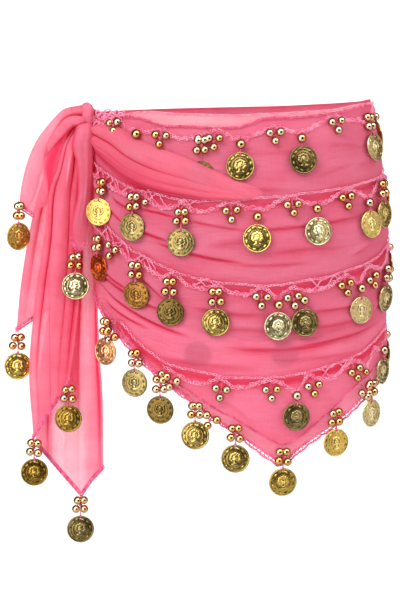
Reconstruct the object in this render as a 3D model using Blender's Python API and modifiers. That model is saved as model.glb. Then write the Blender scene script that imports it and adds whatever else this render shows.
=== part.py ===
"""Belly dance hip scarf of sheer chiffon, wound round the hips and knotted at one side.

The cloth keeps the hollow shape it has when worn. Crochet trims lie on it in rows, and stamped
coins hang from them on beaded threads. Tables are in millimetres and degrees; the meshes are in
metres. +Z is up, the front faces -Y and the knot is at -X. The origin is the centre of the waist
opening, at the height of the top edge. An angle is counted round the hips: 0 is the front, 90 the
side away from the knot, 180 the back, and the knot is at -90, which is also 270.
"""

import math

import bmesh
import bpy
import numpy as np
from mathutils import Matrix, Vector

MM = 0.001

# Driving sizes, in millimetres.
CLOTH = 1.4                # wall of one chiffon layer with the air in its weave
TRIM = 1.2                 # wall of the crochet
SEAM = 0.3                 # gap kept between neighbouring pieces
SLACK = 0.7                # room for flat facets on a round surface
COIN_RADIUS = 14.25
COIN_THICKNESS = 1.2
COIN_LEAN = 0.3            # how much nearer the cloth a coin hangs than its beads
BEAD_RADIUS = 4.0
THREAD_RADIUS = 1.1
KNOT_SIDE = 162.0          # half width where the cloth is drawn out to the knot
KNOT_REACH = 34.0          # degrees from the knot over which it is drawn out
KNOT_HOLD = 8.0            # degrees from the knot within which it is drawn out fully
HIP_LINE = -140.0          # height of the widest part of the hips
GIRTH_PER_DEGREE = 2.4     # length round the hips that one degree covers
TRIM_LIFT = CLOTH / 2 + SEAM + SLACK + TRIM / 2

# Hip form, a row per level: height, half width, front depth, back depth.
HIP_LEVELS = (
    (-430, 152, 99, 103),
    (-340, 156, 104, 108),
    (-220, 161, 109, 120),
    (HIP_LINE, 162, 108, 122),
    (-60, 154, 101, 112),
    (0, 142, 93, 101),
    (30, 137, 90, 97),
)

# Edges of the wound cloth, a row per station: top angle, top height, hem angle, hem height.
FRONT_EDGES = (
    (-83, -8, -83, -33),
    (-81, -9, -84, -90),
    (-78, -9, -82, -150),
    (-73, -9, -78, -205),
    (-66, -9, -70, -217),
    (-56, -8, -58, -238),
    (-45, -8, -45, -261),
    (-34, -8, -34, -286),
    (-22, -9, -22, -306),
    (-10, -10, -10, -329),
    (2, -10, 3, -353),
    (11, -10, 11, -368),
    (18, -9, 17, -378),
    (26, -8, 24, -362),
    (38, -5, 36, -342),
    (50, -1, 50, -321),
    (63, 2, 63, -299),
    (76, 4, 76, -276),
    (89.85, 4, 89.85, -256),
)
BACK_EDGES = (
    (90.15, 4, 90.15, -256),
    (108, 2, 107, -234),
    (126, 0, 126, -211),
    (144, -2, 144, -190),
    (162, -4, 162, -172),
    (180, -5, 180, -156),
    (198, -6, 198, -142),
    (216, -7, 216, -128),
    (234, -8, 234, -112),
    (250, -9, 249, -92),
    (263, -10, 262, -68),
    (274, -10, 274, -35),
)

# Loose layer over the left front, a row per station: angle, upper height, lower height.
FOLD_EDGES = (
    (-77, -24, -43),
    (-72, -23, -53),
    (-62, -27, -66),
    (-50, -37, -79),
    (-36, -48, -91),
    (-22, -58, -96),
    (-12, -69, -97),
    (-2, -81, -95),
)

# Drape folds: start angle, start height, end angle, end height, half width, height of the ridge.
FOLDS = (
    (-84, -40, -26, -150, 20, 2.2),
    (-84, -52, -36, -196, 19, 2.2),
    (-84, -66, -50, -216, 18, 2.0),
    (-30, -120, 34, -148, 20, 1.8),
    (-20, -204, 52, -236, 22, 2.0),
    (10, -52, 84, -28, 20, 1.8),
    (24, -150, 86, -120, 20, 1.8),
    (-6, -330, 44, -306, 20, 1.4),
    (100, -60, 168, -40, 22, 1.8),
    (110, -180, 200, -120, 22, 2.0),
    (186, -90, 262, -52, 20, 2.2),
)

# Crochet trims: angle, upper height, lower height.
TOP_TRIM = (
    (-80, -12, -22),
    (-63, -12, -22),
    (-47, -11, -28),
    (-34, -11, -27),
    (-16, -12, -35),
    (-9, -12, -30),
    (-1, -12, -37),
    (13, -12, -25),
    (24, -11, -31),
    (43, -7, -17),
    (56, -3, -13),
    (67, -1, -14),
    (80, 1, -10),
    (110, -1, -14),
    (140, -4, -18),
    (180, -8, -22),
    (220, -10, -23),
    (250, -12, -22),
    (266, -13, -21),
)
ROW_2 = (
    (-79, -61, -71),
    (-67, -73, -84),
    (-55, -83, -92),
    (-44, -92, -100),
    (-33, -98, -106),
    (-23, -102, -111),
    (-9, -101, -108),
    (5, -99, -112),
    (18, -95, -102),
    (29, -92, -105),
    (43, -86, -93),
    (57, -84, -100),
    (70, -79, -90),
    (84, -73, -82),
    (110, -69, -78),
    (180, -60, -69),
    (230, -48, -57),
    (262, -38, -46),
)
ROW_3 = (
    (-76, -112, -126),
    (-68, -122, -138),
    (-60, -133, -146),
    (-52, -143, -154),
    (-42, -157, -167),
    (-34, -167, -177),
    (-27, -175, -184),
    (-18, -182, -191),
    (-9, -186, -196),
    (2, -189, -199),
    (13, -189, -203),
    (24, -185, -200),
    (37, -179, -190),
    (50, -173, -190),
    (61, -167, -178),
    (71, -160, -172),
    (84, -151, -160),
    (110, -142, -151),
    (140, -132, -141),
    (170, -121, -130),
    (200, -107, -116),
    (225, -91, -100),
    (236, -83, -91),
)
ROW_4 = (
    (-27, -271, -280),
    (-18, -279, -290),
    (-8, -284, -294),
    (3, -286, -296),
    (12, -286, -294),
    (21, -283, -300),
    (32, -277, -287),
    (45, -270, -279),
    (58, -262, -274),
    (71, -251, -262),
    (81, -243, -251),
)
HEM_TRIM = (
    (-77, -198, -213),
    (-63, -216, -232),
    (-54, -229, -248),
    (-44, -247, -268),
    (-32, -272, -293),
    (-18, -303, -320),
    (-3, -335, -348),
    (7, -346, -364),
    (17, -359, -382),
    (26, -344, -362),
    (39, -323, -344),
    (50, -305, -325),
    (61, -291, -306),
    (74, -270, -284),
    (90, -248, -262),
    (126, -203, -217),
    (162, -164, -178),
    (198, -134, -148),
    (230, -109, -122),
    (250, -84, -96),
)

# Coins of the front stretch by the beads above them: the angle of each, on its row's trim.
FRONT_COINS = {
    "row_1": (TOP_TRIM, {"one bead": (-47, -1, 24), "close pairs": (-16, 67)}),
    "row_2": (ROW_2, {"one bead": (5, 29, 57), "pairs": (-67, -44, -23, 71)}),
    "row_3": (ROW_3, {"one bead": (13, 24, 50), "pairs": (-68, -42, -27, -9, 71)}),
    "row_4": (ROW_4, {"one bead": (21, 71)}),
    "hem": (HEM_TRIM, {"pairs": (-63, -44, -32, -18, -3, 16, 39, 61)}),
}
# Angles of the coins on the back stretch of each trim.
BACK_COINS = {
    "top_trim_back": (98, 124, 150, 176, 202, 228),
    "row_2_back": (102, 126, 150, 174, 198, 222, 246),
    "row_3_back": (98, 120, 144, 168),
    "hem_trim_back": (98, 122, 146, 170, 194, 218, 240),
}

# Hanging ends, a row per section from the knot down:
# left x, left height, right x, right height, pleat depth, drop of the point.
TAIL_SIDE = (
    (-200.5, -6, -200.5, -24, 0.6, 0),
    (-208, -12, -204, -44, 1.6, 0),
    (-218, -32, -206, -68, 2.4, 0),
    (-229, -55, -209, -90, 2.8, 0),
    (-237, -86, -212, -112, 2.8, 0),
    (-239, -110, -214, -128, 2.4, 0),
)
TAIL_BACK = (
    (-194, -33, -184, -33, 0.6, 0),
    (-218, -84, -190, -84, 2.2, 0),
    (-232, -136, -194, -136, 3.0, 0),
    (-242, -200, -196, -188, 3.0, 0),
    (-246, -247, -200, -216, 2.4, 0),
)
TAIL_FRONT = (
    (-190, -33, -177, -33, 0.8, 0),
    (-200, -83, -177, -83, 2.0, 0),
    (-211, -148, -176, -148, 2.6, 0),
    (-222, -210, -176, -204, 2.8, 0),
    (-230, -290, -181, -260, 2.8, 0),
    (-227, -363, -187, -301, 2.2, 0),
)
TAIL_LONG = (
    (-177, -33, -166, -33, 0.8, 0),
    (-186, -83, -164.5, -83, 1.8, 0),
    (-195, -149, -164.5, -149, 2.4, 0),
    (-206, -215, -161, -213, 2.8, 0),
    (-216, -270, -158, -270, 2.8, 0),
    (-222, -325, -155, -325, 2.6, 4),
    (-225, -371, -154, -398, 2.0, 40),
)
TAIL_STRIP = (
    (-177, -33, -166, -33, 0.6, 0),
    (-179, -60, -164.5, -60, 1.2, 0),
    (-180, -100, -165, -100, 1.6, 0),
    (-182, -130, -167, -132, 1.6, 2),
    (-182, -148, -169, -150, 1.0, 10),
)
# Each end: table, depth (y), waves across, place of the point (0 left, 1 right), columns.
TAILS = {
    "tail_side": (TAIL_SIDE, -16, 2.0, 0.5, 10),
    "tail_back": (TAIL_BACK, 1, 2.5, 0.5, 12),
    "tail_front": (TAIL_FRONT, -19, 3.0, 0.5, 12),
    "tail_long": (TAIL_LONG, -9, 3.0, 0.7, 13),
    "tail_strip": (TAIL_STRIP, -27, 1.0, 0.45, 8),
}
# Coins on the corners of the ends: end, place across its edge.
TAIL_COINS = (
    ("tail_side", 0.02),
    ("tail_strip", 0.45),
    ("tail_back", 0.02),
    ("tail_front", 0.98),
    ("tail_front", 0.02),
    ("tail_long", 0.7),
)
TAIL_TRIM_DROP = 5.0       # height of the crochet edging on the ends
TAIL_TRIM_GAP = 0.9        # measured straight down, so a slanting edge keeps its seam

# Knot, a ring per level: height, centre x, centre y, half width, half depth.
KNOT_RINGS = (
    (-32.6, -180.5, -11, 17.0, 21),
    (-25, -181.0, -11, 18.4, 22),
    (-16, -181.0, -11, 18.4, 22),
    (-8, -180.0, -11, 16.8, 19),
    (-1, -177.0, -11, 11.0, 13),
    (2, -176.0, -11, 4.0, 5),
)
KNOT_SIDES = 24
KNOT_SQUARENESS = 0.75     # 1 is an ellipse, less is squarer

# Finishes: colour, roughness, metallic.
FINISHES = {
    "chiffon": ((0.93, 0.16, 0.28), 0.75, 0.0),
    "crochet": ((0.92, 0.22, 0.38), 0.85, 0.0),
    "coin gold": ((0.72, 0.60, 0.22), 0.30, 1.0),
}


def along(table, key):
    """Read a table's other columns at key, on a smooth curve through its rows."""
    rows = np.array(table, float)
    keys = rows[:, 0]
    slopes = np.gradient(rows[:, 1:], keys, axis=0)
    i = int(np.clip(np.searchsorted(keys, key) - 1, 0, len(keys) - 2))
    step = keys[i + 1] - keys[i]
    t = min(max((key - keys[i]) / step, 0.0), 1.0)
    start = (1 + 2 * t) * (1 - t) ** 2 * rows[i, 1:] + t * (1 - t) ** 2 * step * slopes[i]
    end = t * t * (3 - 2 * t) * rows[i + 1, 1:] + t * t * (t - 1) * step * slopes[i + 1]
    return start + end


def numbered(table):
    """Give each row of a table its own number as the key."""
    return [(i, *row) for i, row in enumerate(table)]


def ease(t):
    """Go smoothly from 0 to 1."""
    t = min(max(t, 0.0), 1.0)
    return t * t * (3 - 2 * t)


def hip_point(angle, height):
    """Point of the smooth hip form that the cloth is wound on."""
    half_width, front, back = along(HIP_LEVELS, height)
    from_knot = abs((angle + 270) % 360 - 180)
    if height > HIP_LINE:
        drawn = ease((KNOT_REACH - from_knot) / (KNOT_REACH - KNOT_HOLD))
        half_width += (KNOT_SIDE - half_width) * drawn
    turn = math.radians(angle)
    depth = front if math.cos(turn) > 0 else back
    return Vector((half_width * math.sin(turn), -depth * math.cos(turn), height))


def hip_normal(angle, height):
    """Outward direction of the hip form."""
    step = 0.5
    round_hips = hip_point(angle + step, height) - hip_point(angle - step, height)
    upward = hip_point(angle, height + step) - hip_point(angle, height - step)
    return round_hips.cross(upward).normalized()


def fold_rise(angle, height):
    """How far the drape folds lift the cloth off the hip form."""
    rise = 0.0
    for start_angle, start_height, end_angle, end_height, half_width, ridge in FOLDS:
        start = Vector((start_angle * GIRTH_PER_DEGREE, start_height))
        run = Vector((end_angle * GIRTH_PER_DEGREE, end_height)) - start
        here = Vector((angle * GIRTH_PER_DEGREE, height)) - start
        t = here.dot(run) / run.length_squared
        off = abs(here.x * run.y - here.y * run.x) / run.length
        if 0 < t < 1 and off < half_width:
            rise += ridge * math.sin(math.pi * t) * math.cos(math.pi * off / half_width / 2) ** 2
    return rise


def cloth_point(angle, height, lift):
    """Point at a given lift over the middle of the wound cloth."""
    return hip_point(angle, height) + hip_normal(angle, height) * (fold_rise(angle, height) + lift)


def finish(name):
    """Principled material of one finish, made once."""
    material = bpy.data.materials.get(name)
    if material is None:
        colour, roughness, metallic = FINISHES[name]
        material = bpy.data.materials.new(name)
        material.use_nodes = True
        shader = material.node_tree.nodes["Principled BSDF"]
        shader.inputs["Base Color"].default_value = (*colour, 1.0)
        shader.inputs["Roughness"].default_value = roughness
        shader.inputs["Metallic"].default_value = metallic
    return material


def add_object(collection, name, mesh, material):
    """Put a mesh into the scene as a named sub-part."""
    obj = bpy.data.objects.new(name, mesh)
    mesh.materials.append(finish(material))
    collection.objects.link(obj)
    return obj


def sheet_mesh(name, rows, tabs=()):
    """Open surface through rows of points; tabs are extra faces that share its points."""
    bm = bmesh.new()
    grid = [[bm.verts.new(point * MM) for point in row] for row in rows]
    for upper, lower in zip(grid, grid[1:]):
        for i in range(len(upper) - 1):
            bm.faces.new((upper[i], lower[i], lower[i + 1], upper[i + 1]))
    for column, rim in tabs:
        ring = [bm.verts.new(point * MM) for point in rim]
        left, right = grid[-1][column], grid[-1][column + 1]
        bm.faces.new((left, ring[-1], ring[0], right))
        bm.faces.new(list(reversed(ring)))
    mesh = bpy.data.meshes.new(name)
    bm.to_mesh(mesh)
    bm.free()
    return mesh


def add_wall(collection, name, mesh, thickness, material):
    """Give an open surface its thickness, half to each side."""
    wall = add_object(collection, name, mesh, material)
    solidify = wall.modifiers.new("thickness", "SOLIDIFY")
    solidify.thickness = thickness * MM
    solidify.offset = 0.0
    wall.data.shade_smooth()
    return wall


def add_panel(collection, name, edges, columns_per_station, row_count):
    """Stretch of the wound cloth between its top edge and its hem."""
    stations = numbered(edges)
    columns = columns_per_station * (len(stations) - 1)
    rows = []
    for j in range(row_count + 1):
        down = j / row_count
        row = []
        for i in range(columns + 1):
            top_angle, top, hem_angle, hem = along(stations, i / columns_per_station)
            angle = top_angle + (hem_angle - top_angle) * down
            row.append(cloth_point(angle, top + (hem - top) * down, 0))
        rows.append(row)
    add_wall(collection, name, sheet_mesh(name, rows), CLOTH, "chiffon")


def add_front_fold(collection):
    """Loose rounded layer that runs from the knot over the left front."""
    upper_lift = 7.0       # its upper edge rides over the beads of row 1
    lower_lift = CLOTH + SEAM + SLACK
    crown = 2.0
    columns, row_count = 20, 6
    first, last = FOLD_EDGES[0][0], FOLD_EDGES[-1][0]
    rows = []
    for j in range(row_count + 1):
        down = j / row_count
        row = []
        for i in range(columns + 1):
            angle = first + (last - first) * i / columns
            upper, lower = along(FOLD_EDGES, angle)
            lift = upper_lift + (lower_lift - upper_lift) * down ** 4
            lift += crown * math.sin(math.pi * down)
            row.append(cloth_point(angle, upper + (lower - upper) * down, lift))
        rows.append(row)
    add_wall(collection, "front_fold", sheet_mesh("front_fold", rows), CLOTH, "chiffon")


def squared(share):
    """Push a ring's points outward, so that the knot's sides are flat."""
    return math.copysign(abs(share) ** KNOT_SQUARENESS, share)


def add_knot(collection):
    """Bunched knot, lofted through closed rings."""
    bm = bmesh.new()
    rings = []
    for height, centre_x, centre_y, half_width, half_depth in KNOT_RINGS:
        ring = []
        for i in range(KNOT_SIDES):
            turn = 2 * math.pi * i / KNOT_SIDES
            x = centre_x + half_width * squared(math.cos(turn))
            y = centre_y + half_depth * squared(math.sin(turn))
            ring.append(bm.verts.new(Vector((x, y, height)) * MM))
        rings.append(ring)
    for lower, upper in zip(rings, rings[1:]):
        for i in range(KNOT_SIDES):
            j = (i + 1) % KNOT_SIDES
            bm.faces.new((lower[i], lower[j], upper[j], upper[i]))
    bm.faces.new(list(reversed(rings[0])))
    bm.faces.new(rings[-1])
    mesh = bpy.data.meshes.new("knot")
    bm.to_mesh(mesh)
    bm.free()
    knot = add_object(collection, "knot", mesh, "chiffon")
    knot.data.shade_smooth()


def coin_seat(angle, height):
    """How far the cloth stands over its own tangent plane under a coin."""
    centre = cloth_point(angle, height, 0)
    outward = hip_normal(angle, height)
    rise = 0.0
    for i in range(12):
        turn = math.radians(30 * i)
        side_angle = angle + COIN_RADIUS * math.sin(turn) / GIRTH_PER_DEGREE
        near = cloth_point(side_angle, height + COIN_RADIUS * math.cos(turn), 0)
        rise = max(rise, (near - centre).dot(outward))
    return rise


def hanging_frame(angle, height, drop, lean=None):
    """Place, side, outward and up directions of a pendant; it hangs plumb if it has no lean."""
    origin = cloth_point(angle, height, 0)
    outward = hip_normal(angle, height)
    foot = origin - Vector((0, 0, drop))
    if lean is not None:
        foot = cloth_point(angle, height - drop, coin_seat(angle, height - drop) - lean)
    up = (origin - foot).normalized()
    side = up.cross(outward).normalized()
    return origin, side, side.cross(up), up


def disc_rim(centre, side, up, neck, points=13):
    """Rim of a coin with a short flat at its top, counted clockwise from the flat's right end."""
    first = math.asin(neck / COIN_RADIUS)
    rim = []
    for i in range(points):
        turn = first + (2 * math.pi - 2 * first) * i / (points - 1)
        rim.append(centre + (side * math.sin(turn) + up * math.cos(turn)) * COIN_RADIUS)
    return rim


def add_trim(collection, name, table, first, last, step=4.0, coins=()):
    """Crochet band on the cloth, with any coins of a back stretch as tabs of the same wall."""
    neck = 1.5
    drop = 24.0
    half_step = neck / GIRTH_PER_DEGREE
    angles = [first + (last - first) * i / round((last - first) / step)
              for i in range(round((last - first) / step) + 1)]
    angles = [a for a in angles if all(abs(a - coin) > 2 * half_step for coin in coins)]
    angles += [coin + sign * half_step for coin in coins for sign in (-1, 1)]
    angles.sort()
    upper_row, lower_row = [], []
    for angle in angles:
        upper, lower = along(table, angle)
        upper_row.append(cloth_point(angle, upper, TRIM_LIFT))
        lower_row.append(cloth_point(angle, lower, TRIM_LIFT))
    tabs = []
    for coin in coins:
        height = along(table, coin)[1]
        lean = None if table is HEM_TRIM else COIN_LEAN
        origin, side, outward, up = hanging_frame(coin, height, drop, lean)
        centre = origin + outward * (TRIM_LIFT + 2.0) - up * drop
        tabs.append((angles.index(coin - half_step), disc_rim(centre, side, up, neck)))
    add_wall(collection, name, sheet_mesh(name, [upper_row, lower_row], tabs), TRIM, "crochet")


def tail_point(tail, across, down):
    """Point of a hanging end: across from 0 to 1, down counted in sections."""
    table, depth, waves, point_at, _ = TAILS[tail]
    left_x, left_z, right_x, right_z, pleat, drop = along(numbered(table), down)
    point_share = min(across / point_at, (1 - across) / (1 - point_at))
    x = left_x + (right_x - left_x) * across
    y = depth - pleat * math.cos(2 * math.pi * waves * across)
    return Vector((x, y, left_z + (right_z - left_z) * across - drop * point_share))


def add_tail(collection, name):
    """Pleated hanging end and the crochet edging below it."""
    table, columns = TAILS[name][0], TAILS[name][4]
    sections = len(table) - 1
    rows = []
    for j in range(2 * sections + 1):
        rows.append([tail_point(name, i / columns, j / 2) for i in range(columns + 1)])
    add_wall(collection, name, sheet_mesh(name, rows), CLOTH, "chiffon")
    hem = rows[-1]
    upper_row = [point - Vector((0, 0, TAIL_TRIM_GAP)) for point in hem]
    lower_row = [point - Vector((0, 0, TAIL_TRIM_GAP + TAIL_TRIM_DROP)) for point in hem]
    trim = name + "_trim"
    add_wall(collection, trim, sheet_mesh(trim, [upper_row, lower_row]), TRIM, "crochet")


# Pendant in its own axes: +X to the side, -Y outward, +Z up, origin on the cloth where it hangs.
THREAD_LIFT = TRIM_LIFT + TRIM / 2 + 0.5 + THREAD_RADIUS
CLOSE_LIFT = CLOTH / 2 + 0.5 + BEAD_RADIUS               # beads next to the cloth
PROUD_LIFT = TRIM_LIFT + TRIM / 2 + 0.6 + BEAD_RADIUS    # beads in front of a trim
PAIR_SPREAD = 4.15         # from the thread to the middle of each bead of a pair
OVERLAP = 1.5              # how far the thread reaches up in front of the crochet
HEM_HANG = 4.0             # how far below the upper edge of the hem trim its pendants hang
# Kinds: lift of the beads, beads side by side, drops to the beads, drop to the coin.
PENDANTS = {
    "one bead": (CLOSE_LIFT, (0,), (7.5,), 30.0),
    "close pairs": (CLOSE_LIFT, (-PAIR_SPREAD, PAIR_SPREAD), (5.5, 15.0), 37.0),
    "pairs": (PROUD_LIFT, (-PAIR_SPREAD, PAIR_SPREAD), (5.5, 15.0), 37.0),
}


def thread_object(points):
    """Thread tube through a few points."""
    curve = bpy.data.curves.new("thread", "CURVE")
    curve.dimensions = "3D"
    curve.bevel_depth = THREAD_RADIUS * MM
    curve.bevel_resolution = 0
    curve.use_fill_caps = True
    spline = curve.splines.new("POLY")
    spline.points.add(len(points) - 1)
    for slot, point in zip(spline.points, points):
        slot.co = (*(Vector(point) * MM), 1.0)
    return bpy.data.objects.new("thread", curve)


def welded_mesh(obj):
    """Plain closed mesh of an object as its modifiers and bevel leave it."""
    bpy.context.scene.collection.objects.link(obj)
    mesh = bpy.data.meshes.new_from_object(obj.evaluated_get(bpy.context.evaluated_depsgraph_get()))
    bpy.data.objects.remove(obj)
    bm = bmesh.new()
    bm.from_mesh(mesh)
    bmesh.ops.remove_doubles(bm, verts=bm.verts, dist=0.00001)
    bm.to_mesh(mesh)
    bm.free()
    return mesh


def pendant_mesh(kind):
    """One closed body of thread, beads and coin."""
    lift, places, drops, coin_drop = PENDANTS[kind]
    coin_top = coin_drop - COIN_RADIUS + 2.5
    bm = bmesh.new()
    route = ((0, -THREAD_LIFT, 0), (0, -lift, -drops[0]), (0, -lift, -coin_top))
    bm.from_mesh(welded_mesh(thread_object(route)))
    for drop in drops:
        for x in places:
            place = Matrix.Translation(Vector((x, -lift, -drop)) * MM)
            bmesh.ops.create_icosphere(bm, subdivisions=1, radius=BEAD_RADIUS * MM, matrix=place)
    beads_mesh = bpy.data.meshes.new("beads")
    bm.to_mesh(beads_mesh)
    bm.clear()
    flat = Matrix.Rotation(math.radians(90), 4, "X")
    place = Matrix.Translation(Vector((0, -lift, -coin_drop)) * MM) @ flat
    radius = COIN_RADIUS * MM
    bmesh.ops.create_cone(bm, cap_ends=True, segments=12, radius1=radius, radius2=radius,
                          depth=COIN_THICKNESS * MM, matrix=place)
    coin_mesh = bpy.data.meshes.new("coin")
    bm.to_mesh(coin_mesh)
    bm.free()
    beads = bpy.data.objects.new("beads", beads_mesh)
    bpy.context.scene.collection.objects.link(beads)
    coin = bpy.data.objects.new("coin", coin_mesh)
    union = coin.modifiers.new("union", "BOOLEAN")
    union.operation = "UNION"
    union.solver = "EXACT"
    union.use_self = True
    union.object = beads
    mesh = welded_mesh(coin)
    bpy.data.objects.remove(beads)
    mesh.materials.clear()
    mesh.materials.append(finish("coin gold"))
    return mesh


def hang(collection, name, mesh, frame):
    """Hang a copy of a pendant in a frame."""
    origin, side, outward, up = frame
    obj = bpy.data.objects.new(name, mesh)
    axes = Matrix((side, -outward, up)).transposed().to_4x4()
    obj.matrix_world = Matrix.Translation(origin * MM) @ axes
    collection.objects.link(obj)


def add_front_coins(collection, meshes):
    """Pendants of the rows and the hem on the front stretch."""
    for row, (table, kinds) in FRONT_COINS.items():
        coins = sorted((angle, kind) for kind, angles in kinds.items() for angle in angles)
        for number, (angle, kind) in enumerate(coins, 1):
            lift, coin_drop = PENDANTS[kind][0], PENDANTS[kind][3]
            upper, lower = along(table, angle)
            if table is HEM_TRIM:
                frame = hanging_frame(angle, upper - HEM_HANG, coin_drop)
            else:
                lean = lift - CLOSE_LIFT + COIN_LEAN
                frame = hanging_frame(angle, lower + OVERLAP, coin_drop, lean)
            hang(collection, f"{row}_coin_{number}", meshes[kind], frame)


def add_tail_coins(collection, mesh):
    """Pendants on the corners of the hanging ends."""
    side, outward, up = Vector((1, 0, 0)), Vector((0, -1, 0)), Vector((0, 0, 1))
    inward = THREAD_LIFT - (TRIM / 2 + SEAM + THREAD_RADIUS)
    for number, (tail, across) in enumerate(TAIL_COINS, 1):
        corner = tail_point(tail, across, len(TAILS[tail][0]) - 1)
        below = TAIL_TRIM_GAP + TAIL_TRIM_DROP - OVERLAP
        origin = corner - up * below - outward * inward
        hang(collection, f"tail_coin_{number}", mesh, (origin, side, outward, up))


def main():
    """Build the scarf."""
    for obj in list(bpy.data.objects):
        bpy.data.objects.remove(obj, do_unlink=True)
    scarf = bpy.data.collections.new("belly dance hip scarf")
    bpy.context.scene.collection.children.link(scarf)
    add_panel(scarf, "wrap_front", FRONT_EDGES, 2, 16)
    add_panel(scarf, "wrap_back", BACK_EDGES, 2, 10)
    add_front_fold(scarf)
    add_knot(scarf)
    for tail in TAILS:
        add_tail(scarf, tail)
    add_trim(scarf, "top_trim_front", TOP_TRIM, -79, 89.8)
    add_trim(scarf, "top_trim_back", TOP_TRIM, 90.2, 266, 6.0, BACK_COINS["top_trim_back"])
    add_trim(scarf, "row_2_front", ROW_2, -78, 89.8)
    add_trim(scarf, "row_2_back", ROW_2, 90.2, 262, 6.0, BACK_COINS["row_2_back"])
    add_trim(scarf, "row_3_front", ROW_3, -76, 89.8)
    add_trim(scarf, "row_3_back", ROW_3, 90.2, 236, 6.0, BACK_COINS["row_3_back"])
    add_trim(scarf, "row_4_front", ROW_4, -27, 81)
    add_trim(scarf, "hem_trim_front", HEM_TRIM, -77, 89.8)
    add_trim(scarf, "hem_trim_back", HEM_TRIM, 90.2, 250, 6.0, BACK_COINS["hem_trim_back"])
    pendants = {kind: pendant_mesh(kind) for kind in PENDANTS}
    add_front_coins(scarf, pendants)
    add_tail_coins(scarf, pendants["pairs"])


main()
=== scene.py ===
"""Looks of a belly dance hip scarf: sheer pink chiffon, crochet trims, mirror beads and coins.

The cloth is wound round the hips on the same form as the solid parts. Tables are in millimetres
and degrees, and the meshes are in metres. +Z is up, the front faces -Y and the knot is at -X.
An angle is counted round the hips: 0 is the front, 90 the side away from the knot, 180 the back,
and the knot is at -90, which is also 270.
"""

import math

import bmesh
import bpy
import numpy as np
from mathutils import Matrix, Vector


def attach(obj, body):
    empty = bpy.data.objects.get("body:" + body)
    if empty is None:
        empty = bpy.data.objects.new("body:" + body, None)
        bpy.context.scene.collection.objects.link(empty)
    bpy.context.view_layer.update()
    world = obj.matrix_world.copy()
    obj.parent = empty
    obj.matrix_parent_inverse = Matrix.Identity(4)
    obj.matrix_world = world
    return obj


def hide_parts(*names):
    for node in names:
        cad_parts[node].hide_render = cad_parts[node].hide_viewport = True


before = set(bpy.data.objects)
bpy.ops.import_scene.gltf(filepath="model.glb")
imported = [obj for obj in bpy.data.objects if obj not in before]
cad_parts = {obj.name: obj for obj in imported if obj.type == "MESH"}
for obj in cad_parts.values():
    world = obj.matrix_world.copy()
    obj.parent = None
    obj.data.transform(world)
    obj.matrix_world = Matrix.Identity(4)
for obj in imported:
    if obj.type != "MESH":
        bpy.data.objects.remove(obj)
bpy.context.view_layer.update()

MM = 0.001

# ---------------------------------------------------------------- sizes shared with the solids

# Thickness of the cloth and of the trims, and the gaps between them.
CLOTH = 1.4
TRIM = 1.2
SEAM = 0.3
SLACK = 0.7
# Coins, with how far they lean into the cloth, and beads.
COIN_RADIUS = 14.25
COIN_LEAN = 0.3
BEAD_RADIUS = 4.0
# Above the hip line the cloth is drawn out to the half width KNOT_SIDE at the knot. The pull sets
# in KNOT_REACH degrees off the knot and is full from KNOT_HOLD degrees on.
HIP_LINE = -140.0
KNOT_SIDE = 162.0
KNOT_REACH = 34.0
KNOT_HOLD = 8.0
# Length round the hips that one degree takes up.
GIRTH_PER_DEGREE = 2.4
# How far a trim, a thread, a bead on the cloth and a bead on a trim stand off the cloth's middle.
TRIM_LIFT = CLOTH / 2 + SEAM + SLACK + TRIM / 2
THREAD_LIFT = TRIM_LIFT + TRIM / 2 + 1.6
CLOSE_LIFT = CLOTH / 2 + 0.5 + BEAD_RADIUS
PROUD_LIFT = TRIM_LIFT + TRIM / 2 + 0.6 + BEAD_RADIUS
# How far a thread starts over a trim's lower edge, and under the upper line of the hem's trim; how
# far the trim of an end hangs below the end's corner; and the drop to a coin of the back.
OVERLAP = 1.5
HEM_HANG = 4.0
TAIL_HANG = 5.9
BACK_COIN_DROP = 24.0

# ---------------------------------------------------------------- sizes of the looks

# Cloth: its wall, how far the inner turn lies behind the outer one, how proud the creases are, the
# width of the hem's crochet at the back, and the angles at which the front's crochet ends and the
# back's begins.
WALL = 0.4
INNER_TURN_LIFT = -4.0
CREASE_SCALE = 1.25
HEM_BAND = 13.0
FRONT_END, BACK_START = 89.8, 90.2
# Over each coin of the inner turn the cloth is a little more sheer: how far round, and how much.
# Then how far behind the outer turn's middle these coins lie.
CLEARING_REACH, CLEARING = 15.0, 0.28
INNER_COIN_LIFT = -2.6
# Coins: size against the solids', half thickness, swell of the face, place and radius of the hole,
# room behind the edge of a turned one, and how deep a tucked one lies.
COIN_SIZE = 1.045
COIN_HALF = 0.35
COIN_SWELL = 0.9
COIN_HOLE, HOLE_RADIUS = 11.4, 0.95
COIN_CLEARANCE = 3.0
TUCKED_DEPTH = 4.5
# Radii of beads and thread knots, and of the thread and the yarn that is bunched at the knot.
SINGLE_BEAD, BACK_BEAD, CLUSTER_BEAD = 3.8, 4.3, 4.4
COIN_KNOT, TIE_KNOT = 1.25, 1.8
THREAD_RADIUS, BUNCHED_YARN = 0.55, 0.5
# Lengths of the two waves in which a line of crochet sways.
LONG_SWAY, SHORT_SWAY = 13.0, 7.3
# Camera, floor and screens, in metres and degrees. The lens and its sensor are in millimetres.
CAMERA_PLACE = (-0.044, -2.188, 0.0143)
CAMERA_PITCH = 84.0
LENS = 120.0
SENSOR = 36.0
VIEW_END = 60.0
FLOOR_HEIGHT = -1.15
SCREEN_RADIUS = 2.6
SCREENS_FACE = (0.2, -1.0, -0.08)

# Hip form, a row per level: height, half width, front depth, back depth.
HIP_LEVELS = (
    (-430, 152, 99, 103), (-340, 156, 104, 108), (-220, 161, 109, 120), (HIP_LINE, 162, 108, 122),
    (-60, 154, 101, 112), (0, 142, 93, 101), (30, 137, 90, 97),
)

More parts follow.
